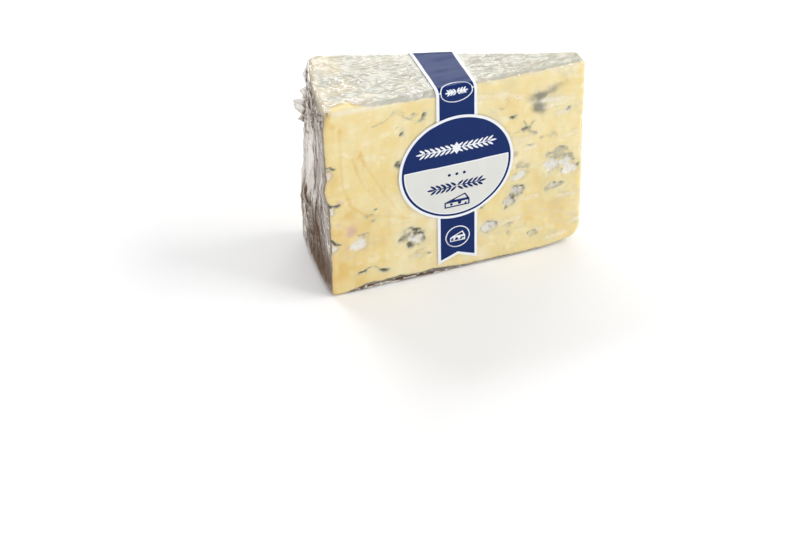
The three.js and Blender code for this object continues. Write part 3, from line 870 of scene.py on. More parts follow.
# Soft smears of mould, seen through the paste: x, z, half length, half width, tilt, how dark
frontSmears = [
    (72.8, 61.7, 3.8, 2, 4, 1.15), (72.4, 60.2, 2.2, 4, 0, 0.8), (73.2, 57.4, 3.3, 2.3, -50, 1.1),
    (76.8, 62.6, 5, 2, 20, 0.75), (81, 34.6, 6.8, 5.8, 0, 0.34), (79, 57, 9, 9, 0, 0.15),
    (80.8, 64.2, 3.6, 1.4, 30, 0.45), (76, 60, 5, 3.6, 0, 0.35), (71, 48.4, 2.2, 1.4, -35, 0.6),
    (69.8, 52.2, 1.8, 0.8, 48, 0.45), (65.4, 49.8, 2.2, 0.6, 10, 0.3), (64.6, 41.4, 2, 1.1, 25, 0.55),
    (58.8, 48, 1.6, 1.9, 40, 0.3), (67, 36.2, 3, 2.4, 10, 0.3), (79.5, 38, 4.6, 2.2, 8, 0.5),
    (76.6, 28.6, 3.4, 4.6, 0, 0.24), (65.4, 33.4, 4.2, 3.2, 10, 0.24), (77, 54, 2.4, 1.6, 0, 0.2),
    (27.4, 17.2, 4.2, 2.6, -8, 0.35), (30.8, 9.8, 4, 2, 10, 0.25), (0.9, 70.4, 1.9, 1.5, -30, 0.5),
    (61, 60, 9, 7, 0, 0.15), (53.4, 24.6, 1.8, 1.8, 0, 0.3), (64, 24.6, 3, 4, -20, 0.22),
    (24.5, 47, 1.8, 2, 0, 0.3), (28.5, 62.8, 5, 1, -14, 0.25), (16.4, 28, 4, 1.4, 8, 0.2),
    (23, 36, 1.8, 1.6, 0, 0.2),
]
# Thin veins and cracks on the front cut: corners of the line, its width, and how dark it is
frontVeins = [
    ([(68.6, 50.9), (69.8, 52.4), (71.2, 53)], 0.25, 0.35),
    ([(68.4, 50.7), (64.4, 49.6), (60.8, 50.6)], 0.3, 0.25),
    ([(67.2, 53.4), (68.6, 50.9), (69.4, 49.4), (71.6, 48)], 0.35, 0.55),
    ([(57.6, 50.6), (58.6, 47.6), (60.6, 46)], 0.5, 0.35),
    ([(15.8, 63.6), (19.5, 64), (23.5, 66.2)], 0.4, 0.4),
    ([(24.5, 65.4), (27.5, 63.6), (31, 62), (33.4, 62.2)], 0.4, 0.45),
    ([(-1.6, 39.2), (-1, 38), (0, 36.6), (1.2, 35.8)], 0.85, 1.5),
    ([(1, 35.9), (2.4, 35.5), (3.8, 35.9)], 0.6, 1.15),
    ([(-0.8, 24.8), (0, 23.2), (1.2, 21.8), (2.2, 21)], 0.7, 1.4),
    ([(1.8, 21.1), (4, 20.5)], 0.5, 1.1),
    ([(-0.4, 50.6), (1.2, 51.2), (2.8, 50.2)], 0.6, 0.95),
    ([(9.6, 22.6), (12.8, 22.2)], 0.45, 0.5),
    ([(9.9, 7.1), (11.7, 8.3), (13.4, 9), (15.2, 8.9), (16.6, 7.8), (17.6, 6.4), (19.3, 5.4)], 0.3, 0.5),
]
# Pinkish patches by the rim: x, z, half size, strength
frontBlushes = [
    (0.4, 48.4, 1.9, 0.6), (4.5, 37.1, 1.6, 0.6), (7.4, 24.9, 2.4, 0.85), (4.1, 28.1, 1.6, 0.45),
    (0.7, 27.8, 1.4, 0.4), (10.8, 21.4, 1.8, 0.5), (20.4, 29.2, 1.6, 0.25), (11.8, 17.4, 1.8, 0.45),
    (6, 18.6, 1.4, 0.4), (0.6, 34.2, 1.8, 0.4),
]
# Riper amber patches: x, z, half width, half height, strength
amberPatches = [
    (0.8, 70.6, 2.2, 2.6, 1), (2.4, 65.8, 1.5, 2.2, 0.6), (5.2, 64.4, 0.8, 0.8, 0.5),
    (11.7, 53.3, 0.8, 1.4, 0.9), (12, 50, 0.7, 3.2, 0.35), (2.6, 44, 2.2, 5.5, 0.5),
    (4.6, 10, 3.2, 5.6, 0.75), (2.8, 25.2, 1.6, 1.8, 0.5), (7.4, 31.4, 3, 2, 0.4),
    (70, 14.5, 2.6, 3.4, 0.5), (78.5, 17.5, 4.5, 4, 0.3), (81.5, 14, 7, 9, 0.4),
    (62, 44.6, 2.4, 0.8, 0.5), (74.4, 52.6, 0.8, 2.6, 0.35), (58.6, 30.4, 2, 3.2, 0.3),
    (72, 30.4, 2, 4.2, 0.45), (52.6, 8.4, 2.4, 2.6, 0.4), (18.8, 20, 4.2, 3.2, 0.25),
]
# Soft creases that the tight film draws down the front cut
creases = [
    [(5, 65.2), (4.7, 51.8), (5.7, 41.9), (7.6, 34.8), (12.4, 30), (20.9, 27.4), (33.6, 23.1)],
    [(12.1, 51.9), (16.2, 43.2), (19.4, 36.5), (23.7, 29)],
    [(8.7, 52.7), (11.8, 42.3), (17.6, 33)],
]
# Where the pale rind of the top ends along the front cut: mm in from the sharp edge, below it if minus
topRindX = (0.0, 2.0, 3.2, 4.6, 9.6, 11.2, 14.0, 17.0, 30.0, 37.0, 52.0, 60.0, 68.0, 76.0, 85.0, 89.0)
topRindEdge = (2.2, 2.6, 3.2, 4.8, 5.2, 3.2, 0.8, -0.4, -1.2, -1.2, 0.8, 0.6, 0.5, 0.7, 0.8, 0.8)
# Height of the dark rind showing along the foot of the front cut
footRindX = (4.0, 6.3, 10.5, 13.6, 18.2, 23.8, 34.4, 45.1, 55.9, 70.0, 77.0)
footRindHeight = (0.0, 1.1, 2.0, 2.5, 2.1, 2.4, 2.0, 1.2, 1.0, 0.9, 0.0)


# Adds one pocket to the fields: inside it, its filling; round it, a border that is strongest on the
# upper side, and a shaded spot in its upper right, both painted shade under its upper lip over the
# mould's own dark; in its middle, its dark; and about it a faint stain. All hang on the distance from
# its middle over its half sizes.
def addPocket(fields, u, z, pocket, share):
    centreU, centreZ, long, wide, tilt, core, edge, pale = pocket
    along, across = turned(u, z, centreU, centreZ, tilt)
    along = along / long
    across = across / wide
    away = np.hypot(along, across)
    inside = smoothStep(away, *pocketLook["fillEnds"]) * share
    upper = smoothStep(across + pocketLook["upperSlant"] * along, *pocketLook["upperEnds"])
    border = bell(away - pocketLook["border"], pocketLook["borderWidth"])
    border = border * blend(pocketLook["borderBelow"], 1, upper)
    shadeAlong, shadeAcross = pocketLook["shade"]
    shade = bell(np.hypot(along - shadeAlong, across - shadeAcross), pocketLook["shadeSize"])
    ring = np.maximum(border, shade) * share * fields["broken"]
    middle = smoothStep(away, *pocketLook["coreEnds"]) * share
    middle = middle * blend(pocketLook["coreBroken"], 1, fields["broken"])
    most = max(core, edge, pale)
    layOver(
        fields,
        bloom=pale * inside,
        vein=np.maximum(core * middle, edge * ring),
        stain=pocketLook["stain"] * bell(away, pocketLook["stainSize"]) * share * most,
        depth=pocketLook["depth"] * min(wide, pocketLook["deepest"]) * inside * most,
    )


# Pockets strewn over a cut that the photo doesn't show, in the same mix as on the front
def strewnPockets(seed, count, placesU, placesZ):
    rng = np.random.default_rng(seed)
    pockets = []
    for _ in range(count):
        wide = rng.uniform(0.5, 1.9)
        kind = rng.choice(3, p=(0.4, 0.35, 0.25))
        pockets.append((
            rng.uniform(*placesU),
            rng.uniform(*placesZ),
            wide * rng.uniform(1.0, 1.9),
            wide,
            rng.uniform(-30, 40),
            (rng.uniform(0.5, 1.0), 0.0, 0.1)[kind],
            (0.1, rng.uniform(0.4, 0.9), 0.3)[kind],
            (0.1, rng.uniform(0.6, 1.0), rng.uniform(0.4, 0.9))[kind],
        ))
    return pockets


# How far in from the front edge of the top rind, measured round the fillet
def pastFrontOfRind(form):
    below = wedge["height"] - form.z
    return form.y - below - np.interp(form.x, topRindX, topRindEdge)


# How far outlines wander at each point: soft noise and a share of a finer one
def wandering(form, seed):
    coarse = (cheese["wanderSize"],) * 3
    fine = (cheese["wanderFineSize"],) * 3
    noise = noisesOver(form, {"coarse": (seed, *coarse), "fine": (seed + 50, *fine)})
    return cheese["wander"] * noise["coarse"] + cheese["wanderFine"] * cheese["wander"] * noise["fine"]


# The rind is a layer under the wheel's own surfaces, and this is how many mm of it are left over each
# point: what is left of the layer under the top, the rim or the foot, whichever is most
def rindOver(form, noise):
    x, z = form.x, form.z
    below = wedge["height"] - cheese["skin"] - z
    fromFront = pastFrontOfRind(form) + cheese["skin"]
    fromBack = form.inFromBack - below - 0.3
    topRind = np.minimum(fromFront, fromBack) + 0.5 * noise["soft"] + 0.4 * noise["softer"]
    topRind = np.minimum(topRind, wedge["cutLength"] - 0.8 - 0.8 * noise["soft"] - x)
    rimRind = 0.35 + 0.3 * noise["softer"] + 0.3 * noise["banded"] - form.inFromRim + 2 * form.facesRim
    footRind = np.interp(x, footRindX, footRindHeight) * (1 + 0.3 * noise["soft"])
    footRind = footRind + 0.3 * noise["softer"] - form.overFoot
    return np.maximum(np.maximum(topRind, rimRind), footRind)


# The mould: pockets, smears and veins of the front cut, and pockets strewn over the back and the tip. The
# pockets' dark borders also carry painted shade on their upper side.
def mouldOver(form, noise, zone, wanderU, wanderZ):
    x, z, u = form.x, form.z, form.inFromRim  # u is the same as x on the front cut
    fields = {name: np.zeros(x.shape) for name in ("vein", "bloom", "smear", "stain", "depth")}
    fields["broken"] = np.clip(0.75 + 0.9 * noise["broken"], 0.1, 1.3)
    onFront = form.facesFront * form.side
    for pocket in frontPockets:
        addPocket(fields, x + wanderU, z + wanderZ, pocket, onFront)
    lineX = x + cheese["lineWander"] * wanderU
    lineZ = z + cheese["lineWander"] * wanderZ
    for smearX, smearZ, long, wide, tilt, dark in frontSmears:
        along, across = turned(lineX, lineZ, smearX, smearZ, tilt)
        smear = dark * bell(np.hypot(along / long, across / wide), 1)
        layOver(fields, smear=smear * blend(0.75, 1, fields["broken"]) * onFront)
    onEdge = smoothStep(-form.normalX, 0.2, 0.5) * form.side
    for corners, width, dark in frontVeins:
        away = distanceToLine(lineX, lineZ, corners)
        vein = dark * bell(away, width) * np.maximum(onFront, onEdge)
        dent = cheese["veinDepth"] * dark * bell(away, width * 0.7) * onFront
        layOver(fields, vein=vein, depth=dent)
    for pocket in strewnPockets(*cheese["strewnAtBack"]):
        addPocket(fields, u + wanderU, z + wanderZ, pocket, form.facesBack * form.side)
    for pocket in strewnPockets(*cheese["strewnAtTip"]):
        addPocket(fields, form.y + wanderU, z + wanderZ, pocket, zone["tip"] * form.side)
    fields["bloom"] = fields["bloom"] * (0.8 + 0.35 * noise["patchy"])
    marble = ridges(16, (x + 3 * wanderU) / 5.5, form.y / 4, (z + 3 * wanderZ) / 3.2) ** 2
    marble = marble * smoothStep(noise["marbled"], -0.2, 0.5) * zone["marbled"]
    layOver(fields, stain=0.6 * marble * form.side)
    return fields


# The paste's warm, milky and pinkish shares: deeper in colour under the rind and by the rim, darker in
# the creases as painted shade, and paler on the sharp edge of the top as a painted highlight
def pasteTones(form, noise, zone, wanderU, wanderZ, crease):
    x, z = form.x, form.z
    upright = smoothNoise(35, x / 1.7, form.y / 3, (z + 0.4 * x) / 11)
    unrolled = z + np.where(form.up > 0, form.y, 0)  # height, measured on over the top
    # The deeper colour along the creases is painted shade
    warm = 0.2 * zone["byRim"] + 0.4 * zone["atRim"] + 0.36 * crease + 0.15 * noise["soft"]
    warm = warm + 0.1 * zone["low"] + 0.22 * np.clip(upright, 0, 1) * zone["streaked"] * form.side
    warm = warm + 0.22 * smoothStep(noise["blotched"], 0, 0.6) * zone["blotched"]
    for patchX, patchZ, halfX, halfZ, strength in amberPatches:
        away = np.hypot((x + wanderU - patchX) / halfX, (unrolled + wanderZ - patchZ) / halfZ)
        warm = warm + strength * bell(away, 0.9) * form.facesFront
    milky = 0.45 * smoothStep(noise["milky"], 0, 0.6) + 0.3 * np.clip(-upright, 0, 1)
    milky = milky * blend(0.3, 1, zone["milky"]) + 0.35 * zone["milkyPatch"]
    # A painted highlight: the paste is paler along the sharp edge of the top
    sharpEdgeHighlight = bell(unrolled - 71.2, 1.2) * form.facesFront * zone["sharpEdge"]
    milky = milky + sharpEdgeHighlight * blend(0.5, 1, zone["sharpEdgeLeft"])
    blush = {"blush": np.zeros(x.shape)}
    for blushX, blushZ, size, strength in frontBlushes:
        away = np.hypot(x + wanderU - blushX, z + wanderZ - blushZ) / size
        layOver(blush, blush=strength * smoothStep(away, 1.5, 0.2) * form.facesFront * form.side)
    return {"warm": np.clip(warm, 0, 1), "milky": np.clip(milky, 0, 1), **blush}


# The cheese: the outer form, swollen, dented by its pockets and filling the low part of the bag
def cheesePiece():
    form = outerForm(cheese["counts"], cheese["skin"])
    noise = noisesOver(form, cheeseGrain)
    zone = zonesOver(form, cheeseZones)
    wanderU, wanderZ = [wandering(form, seed) for seed in cheese["wanderSeeds"]]
    fields = mouldOver(form, noise, zone, wanderU, wanderZ)
    print("pockets and veins worked out")

    rind = rindOver(form, noise)
    bare = smoothStep(rind, 0.6, 0)
    crease = ridgesAlong(form.x, form.z, [(corners, 1) for corners in creases], cheese["creaseWidth"])
    crease = crease * form.facesFront * form.side * zone["creased"]
    browned = blend(*cheese["brownBelow"], form.facesRim)
    atRimEdge = bell(form.inFromRim - 0.6, 1.8)
    rindWarmth = (zone["warmRind"] * (0.7 + 0.7 * noise["soft"]) + atRimEdge) * zone["top"]
    rindBrown = (1 - zone["top"]) * smoothStep(form.z, browned, browned - cheese["brownFade"])
    attributes = {
        "vein": fields["vein"] * bare,
        "bloom": fields["bloom"] * bare,
        "smear": fields["smear"] * bare,
        "stain": fields["stain"],
        "rind": rind,
        "rindWarmth": np.clip(rindWarmth, 0, 1),
        "rindBrown": rindBrown * blend(0.7, 1, zone["lowOnRim"]),
        # The rind along the foot of the cuts is near-black: its own dark colour, with painted shade along
        # the foot
        "rindDark": zone["darkFoot"] * (1 - form.facesRim),
        **pasteTones(form, noise, zone, wanderU, wanderZ, crease),
    }
    relief = cheese["rindRelief"] * (noise["rindRelief"] - 0.7) * smoothStep(rind, -0.3, 0.5)
    height = softSwell(form) + cheese["rough"] * noise["rough"] + relief - fields["depth"]
    height = height - cheese["creaseDepth"] * crease - cheese["underPleats"] * form.facesRim
    sagged = bag["filled"] * zone["filledBag"]
    points = raised(form, height, bagDepth(form)[0] * sagged * (1 - form.toSpine))
    triangles = gridTriangles(*rind.shape, closed=True)
    return meshPiece("cheese", points, triangles, attributes, cheeseMaterial())


# The film round it
film = {
    "counts": {
        "front": 262, "corner": 9, "tip": 8, "back": 64, "rim": 92,
        "under": 3, "bottomEdge": 4, "side": 150, "topEdge": 8, "top": 44,
    },
    "labelMargin": 0.5,      # it lies flat this far round a label
    "labelFade": 2.2,
    "wanderX": 2.0,          # mm by which the crinkles of the top wander
    "wanderY": 1.2,
    "earWidth": 1.4,
    "seam": 0.7,             # height of the seam along the back upright edge
    "crinkle": 0.4,          # on the upper rind
    "pucker": 0.08,          # on the edges of the top
    "pleat": 0.85,           # on the rim
    "edgeRidge": 0.25,       # on the top beside the rim
    "edgePitch": 0.8,
    "taut": 0.05,            # long soft waves of the cuts
    "strand": 0.1,
    "creaseRidge": 0.22,
    "creaseWidth": 0.9,
    "lip": 0.45,
    "lipHeight": 0.9,
    "lipWave": 26.0,
    "leanWander": 2.2,       # mm by which the folds of the rim lean to and fro
    "leanSlope": 0.05,       # and for each mm of height
    "hairSlant": 0.45,       # of the fine hairs on the rim
    "hairSize": (0.9, 8),    # their pitch and length
    "levelSlope": 0.5,       # by which the zones of the rim rise towards the front
    "milkyLevels": (17, 22),  # its film turns milky between these heights
    "upperLevels": (41, 48),  # and crumpled between these
    "pointLevels": (17, 14),  # long points end the milky part: at what height, and how far about it
    "pointLength": 9,
    "besideCut": (0.72, 0.4),  # haze and tone of the rim beside the cuts
    # the grey outline of an ear is painted shade along its folded edge
    "earOutline": 0.4,       # width of the grey outline of an ear
    "earHazes": (0.12, 0.4),  # added on an ear, and on its outline
    # the lip's haze and tone paint a white highlight along it
    "lipTones": (0.75, -0.3),  # haze and tone of the lip
    # the cream line along the sharp edge of the top is a painted highlight
    "edgeHighlight": (70.6, 0.8),  # the cream line along the sharp edge of the top: height and width
    "edgeHighlightHazes": (0.08, 0.12),  # its haze at the tip and by the rim
    "mostHaze": 0.88,
}
# Haze and tone of the rim's film, up its height at the back
rimLevels = (-20, -4, 10, 17, 22, 40, 47, 56, 70)
rimHazes = (0.3, 0.42, 0.6, 0.7, 0.85, 0.85, 0.72, 0.62, 0.4)
rimTones = (0.9, 0.8, 0.65, 0.55, 0.18, 0.18, 0.34, 0.36, 0.35)
# Ears of gathered film by the back upright edge: height, how far they stand out, half their height
filmEars = [(58.0, 3.2, 2.2), (52.9, 4.6, 2.1), (48.9, 2.2, 1.1), (64.4, 1.2, 3.4)]
# Their distance from the back upright edge, at a few heights
earLevels = (46.0, 48.9, 52.7, 57.2, 64.0)
earPlaces = (4.2, 4.0, 2.4, 3.6, 2.6)
# Taut folds on the front cut, real ridges that are also painted white as highlights: corners of the line
# and the height of the ridge
lightFolds = [
    ([(52.0, 66.4), (57.5, 65.5), (62.8, 64.7), (66.0, 63.0)], 0.2),
    ([(70.6, 60.2), (73.5, 59.7)], 0.1),
    ([(74.2, 59.6), (79.9, 59.4)], 0.36),
    ([(79.9, 59.4), (84.8, 58.8)], 0.25),
    ([(74.2, 57.4), (77.0, 57.3), (81.4, 57.4)], 0.2),
    ([(79.4, 53.8), (82.5, 54.2)], 0.22),
    ([(60.5, 46.6), (63.5, 46.8), (68.5, 46.5)], 0.25),
    ([(68.4, 42.6), (71.8, 42.8)], 0.2),
    ([(82.4, 44.6), (86.4, 45.3)], 0.22),
    ([(64.9, 22.4), (68.6, 22.6), (72.5, 22.8)], 0.3),
    ([(58.0, 15.4), (61.0, 15.2), (65.6, 15.6)], 0.28),
    ([(72.0, 9.2), (75.2, 8.8)], 0.2),
    ([(76.3, 4.6), (82.2, 5.4)], 0.25),
    ([(84.1, 9.0), (88.0, 9.9)], 0.2),
    ([(80.0, 21.0), (86.5, 20.4)], 0.15),
]


# The noises of the film: seed, and size in mm along x, y and z
filmGrain = {
    "wanderX": (61, 4, 4, still),
    "wanderY": (62, 3, 3, still),
    "patchy": (65, 5, 4, still),
    "lean": (66, still, 9, 13),
    "fine": (70, 3, still, 2.4),
    "slant": (78, 14, still, 11),
    "strands": (80, 7, still, 4),
    "lines": (85, 3.5, still, 2),
    "lip": (88, 4, still, still),
}
# Zones of the film: a measure, and the values at which it is 0 and 1
filmZones = {
    "top": [("up", 0.1, 0.9)],
    "offFoot": [("overFoot", 1, 5)],
    "towardsTip": [("x", 46, 76)],
    "slack": [("y", 4, 30)],
    "nearCut": [("y", 18, 11)],
    "besideCut": [("y", 9, 5), ("z", 12, 20), ("z", 68, 60)],
    "hairs": [("z", 4, 14)],
    "seam": [("overFoot", 20, 40)],
    "lip": [("x", 12, 20), ("x", 82, 74)],
    "lipHighlight": [("x", 4, 12), ("x", 86, 74)],
    "edgeHighlight": [("x", 1, 4)],
    "edgeHighlightLeft": [("x", 30, 12)],
}
# Crinkles of the top: seed, slant and size across y, slant and size across x, and whether they wander
# the other way round
topCrinkles = {
    "broad": (63, 0, 4.4, -0.3, 2.4, False),
    "narrow": (64, 0.6, 3.6, 0.35, 1.9, True),
    "shade": (82, 0, 4.0, -0.15, 2.1, True),
}
# Folds of the rim: seed, share of the lean, pitch, length, and how much sharper than a plain ridge
rimFolds = {
    "folds": (67, 1, 3.2, 19, 1.3),
    "crumple": (77, 1, 1.9, 2.6, 1.3),
    "points": (73, 1, 3.6, 30, 1),
    "dim": (75, 1, 2.0, 9, 1),
    "crumpled": (81, -1, 1.6, 2.2, 1),
}


# How far the film stands out sideways: in its bag, in ears gathered beside the back upright edge, and in
# a low lip along the foot of the cuts
def looseFilm(form, zone):
    z = form.overFoot
    depth, away, facesRim = bagDepth(form)
    ragged = 0.85 + 0.4 * smoothNoise(51, z / 1.1, away / 1.3, 0.0)
    ears = np.max([out * np.exp(-((z - at) / half) ** 4) for at, out, half in filmEars], axis=0)
    fromEar = away - np.interp(z, earLevels, earPlaces)
    crest = ears * bell(fromEar, film["earWidth"]) * ragged * facesRim
    seam = film["seam"] * bell(away - 1.5, 1.2) * ridges(52, z / 2.3, away / 3, 0.0) * zone["seam"]
    lip = film["lip"] * bell(z - film["lipHeight"], film["lipHeight"])
    lip = lip * np.abs(form.normalY) * zone["lip"]
    lip = lip * (0.6 + 0.4 * np.sin(2 * math.pi * form.x / film["lipWave"]))
    return depth, crest + seam, lip, fromEar


# The top: crinkles that are short and cross, somewhat longer lengthwise. Gives its height, haze and
# tone: white strokes along the crinkles are painted highlights, dim ones between them are painted shade,
# and the streaks along the edge by the rim are painted the same way.
def topFilm(form, noise, zone):
    x, y = form.x, form.y
    wander = (film["wanderX"] * noise["wanderX"], film["wanderY"] * noise["wanderY"])
    ridge = {}
    for name, (seed, slantX, sizeX, slantY, sizeY, swapped) in topCrinkles.items():
        first, second = wander[::-1] if swapped else wander
        acrossX = (x + slantX * y + first) / sizeX
        ridge[name] = ridges(seed, acrossX, (y + slantY * x + second) / sizeY, 0.0)
    shade = ridge["shade"] ** 2
    patchy = smoothStep(noise["patchy"], -0.5, 0.3)
    white = np.maximum(ridge["broad"], ridge["narrow"]) ** 2.5
    overRind = smoothStep(pastFrontOfRind(form), -1.3, -0.3)
    height = film["crinkle"] * (0.55 * ridge["broad"] ** 1.5 + 0.45 * ridge["narrow"] ** 1.5)
    height = height * blend(0.6, 1, patchy) * blend(0.3, 1, overRind) * blend(1, 0.8, zone["towardsTip"])

    fromRim = (form.inFromRim + 0.3 * wander[0]) / film["edgePitch"]
    edgeLines = ridges(86, fromRim, y / 4, 0.0) ** 2
    edgeShade = ridges(87, fromRim, y / 5, 0.0) ** 2
    rimEdge = bell(form.inFromRim - 1.0, 1.6) * zone["top"]
    calm = blend(1, 0.55, zone["towardsTip"])
    # Painted light: white strokes on the crinkles and edge lines are painted highlights, and the dim
    # strokes between them and the edge shade are painted shade
    haze = 0.05 + (0.52 * white * patchy + 0.26 * shade * (1 - white)) * overRind * calm
    haze = blend(haze, 0.1 + 0.5 * edgeLines + 0.45 * edgeShade, rimEdge)
    tone = blend(1, 0.6 * shade * (1 - white) - 0.6 * white, overRind) + 0.42 * zone["towardsTip"]
    tone = blend(tone, 0.4 + 0.5 * edgeShade - 1.4 * edgeLines, rimEdge)
    return height, haze, tone, film["edgeRidge"] * edgeLines * rimEdge


# The rim: folds that run upright and lean together in long Vs. Gives its height, haze and tone: brown
# and see-through low down, then milky, then crumpled. The milky part ends below in long points. Pale
# fold crests and fine hairs are painted white as highlights, and the dim and crumpled folds are painted
# darker as shade.
def rimFilm(form, noise, zone):
    y, z = form.y, form.z
    lean = film["leanWander"] * noise["lean"] + film["leanSlope"] * z
    ridge = {
        name: ridges(seed, 0.0, (y + share * lean) / pitch, z / length) ** sharpness
        for name, (seed, share, pitch, length, sharpness) in rimFolds.items()
    }
    hairPitch, hairLength = film["hairSize"]
    hairs = ridges(68, 0.0, (y - film["hairSlant"] * z) / hairPitch, z / hairLength) ** 1.5
    level = z - film["levelSlope"] * (wedge["wheelRadius"] * math.sin(wedge["angle"]) - y)
    upper = smoothStep(level, *film["upperLevels"])
    milky = smoothStep(level, *film["milkyLevels"]) * (1 - upper)
    height = ridge["folds"] + 0.3 * hairs * (1 - 0.8 * milky) + 0.6 * ridge["crumple"] * upper - 0.7
    height = film["pleat"] * height * blend(0.35, 1, zone["slack"])

    pointLevel, pointSpread = film["pointLevels"]
    nearPoints = bell(level - pointLevel, pointSpread)
    level = level + film["pointLength"] * (ridge["points"] - 0.5) * nearPoints
    # Painted shade in the dim and crumpled folds, painted highlights on the pale crests and hairs
    dim = smoothStep(ridge["dim"], 0.6, 0.95)
    crumpled = smoothStep(ridge["crumpled"], 0.45, 0.9) * upper
    hairs = smoothStep(hairs, 0.55, 1) * zone["hairs"]
    pale = 0.7 * np.clip(ridge["folds"] * 1.5 - 0.6, 0, 1) * milky + 0.75 * hairs * (1 - 0.7 * milky)
    nearCut = zone["nearCut"] * milky
    beside = 0.8 * zone["besideCut"]
    haze = np.interp(level, rimLevels, rimHazes) + 0.2 * crumpled + 0.1 * dim - 0.15 * nearCut
    tone = np.interp(level, rimLevels, rimTones) + 0.5 * dim + 0.6 * crumpled + 0.25 * nearCut
    besideHaze, besideTone = film["besideCut"]
    haze = blend(haze, besideHaze, beside) + 0.3 * pale
    tone = blend(tone, besideTone, beside) - 0.7 * pale
    return height, haze, tone


# The cuts: nearly flat, with a few taut folds and long fine lines, painted white as highlights where they
# catch the light. At the foot the film over the dark rind is painted dark brown, partly as shade, with
# pale flecks painted as glints. Gives their height, haze and tone.
def cutFilm(form, noise):
    x, z = form.x, form.z
    lines = ridgesAlong(x, z, lightFolds, 1.0) * form.facesFront * (0.7 + 0.5 * noise["lines"])
    long = ridgesAlong(x, z, [(corners, 1) for corners in creases], film["creaseWidth"])
    slant = z + 0.03 * x + 2.0 * noise["slant"]
    strands = ridges(79, x / 13, 0.0, slant / 1.4) ** 3 * smoothStep(noise["strands"], 0, 0.6)
    height = film["taut"] * smoothNoise(69, x / 16, 0.0, slant / 2.2) + 0.03 * noise["fine"]
    height = height + 0.5 * lines + film["creaseRidge"] * long * form.facesFront + film["strand"] * strands

    atFoot = np.interp(x, footRindX, footRindHeight) - form.overFoot
    atFoot = smoothStep(atFoot, -0.3, 0.4) * (1 - form.facesRim) * form.side
    flecks = smoothStep(ridges(74, x / 2.6, 0.0, z / 0.6), 0.55, 0.95)
    # Painted highlights on the folds, lines and flecks; painted shade in the dark film at the foot
    haze = blend(0.02 + 1.2 * lines + 0.08 * strands, blend(0.6, 0.8, flecks), atFoot)
    tone = atFoot * (1 - 0.9 * flecks) - smoothStep(lines + strands, 0.03, 0.12)
    return height, haze, tone


# The film: the outer form, with the relief of its top, rim and cuts, pushed out where it is loose. Its
# haze says how much it hides, and its fold how dark (1) or white (-1) it looks there.
def filmPiece():
    form = outerForm(film["counts"], 0.0)
    x, z = form.x, form.z
    noise = noisesOver(form, filmGrain)
    zone = zonesOver(form, filmZones)
    loose, crest, lip, fromEar = looseFilm(form, zone)
    onTop = zone["top"]
    onSide = form.side ** 2 * zone["offFoot"]
    onRim = form.facesRim * onSide
    top, topHaze, topTone, edge = topFilm(form, noise, zone)
    rim, rimHaze, rimTone = rimFilm(form, noise, zone)
    cut, cutHaze, cutTone = cutFilm(form, noise)
    free = awayFromLabels(form, film["labelMargin"], film["labelFade"])
    onFillet = bell(form.up - 0.5, 0.4) * (form.side > 0) * (1 - form.facesRim)
    puckers = ridges(71, (x + film["wanderX"] * noise["wanderX"]) / 1.7, 0.0, z / 3)
    puckers = puckers + 0.5 * ridges(72, x / 4.5, 0.0, z / 3)
    height = top * onTop + cut * (1 - form.facesRim) * onSide + film["pucker"] * puckers * onFillet
    height = softSwell(form) + free * height + rim * onRim + edge
    outwards = (loose + crest + lip) * (1 - form.toSpine)

    # The ears are clear, with a thin grey outline painted as shade along their folded edge. A cream line
    # follows the sharp edge of the top, and a white one the lip: both are painted highlights.
    gathered = smoothStep(crest, 0.4, 1.8)
    earLine = bell(fromEar, film["earOutline"]) * gathered
    rimShare = onRim * (1 - onTop)
    highlightHeight, highlightWidth = film["edgeHighlight"]
    edgeHighlight = bell(z - highlightHeight, highlightWidth) * (form.side > 0.1) * (form.normalY < -0.9)
    edgeHighlight = edgeHighlight * zone["edgeHighlight"] * blend(*film["edgeHighlightHazes"], zone["edgeHighlightLeft"])
    lipHighlight = bell(form.overFoot - 0.5, 0.45) * form.facesFront * zone["lipHighlight"]
    lipHighlight = lipHighlight * (0.55 + 0.45 * noise["lip"])
    haze = blend(cutHaze, topHaze, onTop) * (1 - onRim) + rimHaze * rimShare * (1 - 0.6 * gathered)
    lipHaze, lipTone = film["lipTones"]
    haze = blend(haze + edgeHighlight, lipHaze, lipHighlight)
    fold = blend(cutTone, topTone, onTop) * (1 - onRim) + rimTone * rimShare * (1 - 0.8 * gathered)
    fold = blend(fold, lipTone, lipHighlight)
    fold = blend(fold, -1, smoothStep(edgeHighlight, 0, 0.15))
    onEar, onOutline = film["earHazes"]
    attributes = {
        "haze": np.clip(haze + onEar * gathered + onOutline * earLine, 0, film["mostHaze"]),
        "fold": np.clip(fold + onOutline * earLine, -1, 1),
    }
    triangles = gridTriangles(*x.shape, closed=True)
    return meshPiece("film", raised(form, height, outwards), triangles, attributes, filmMaterial())


# The labels

# Lengths along the band are measured up the front from the floor, over the top and down the back
bandRight = band["left"] + band["width"]
bandMiddle = band["left"] + band["width"] / 2
bandAtTopEdge = wedge["height"] - wedge["topEdge"]
edgeArc = wedge["topEdge"] * math.pi / 2
bandOnTop = bandAtTopEdge + edgeArc
backSine = math.sin(wedge["angle"])
backCosine = math.cos(wedge["angle"])
backLineOffset = wedge["wheelRadius"] * backSine - wedge["topEdge"]


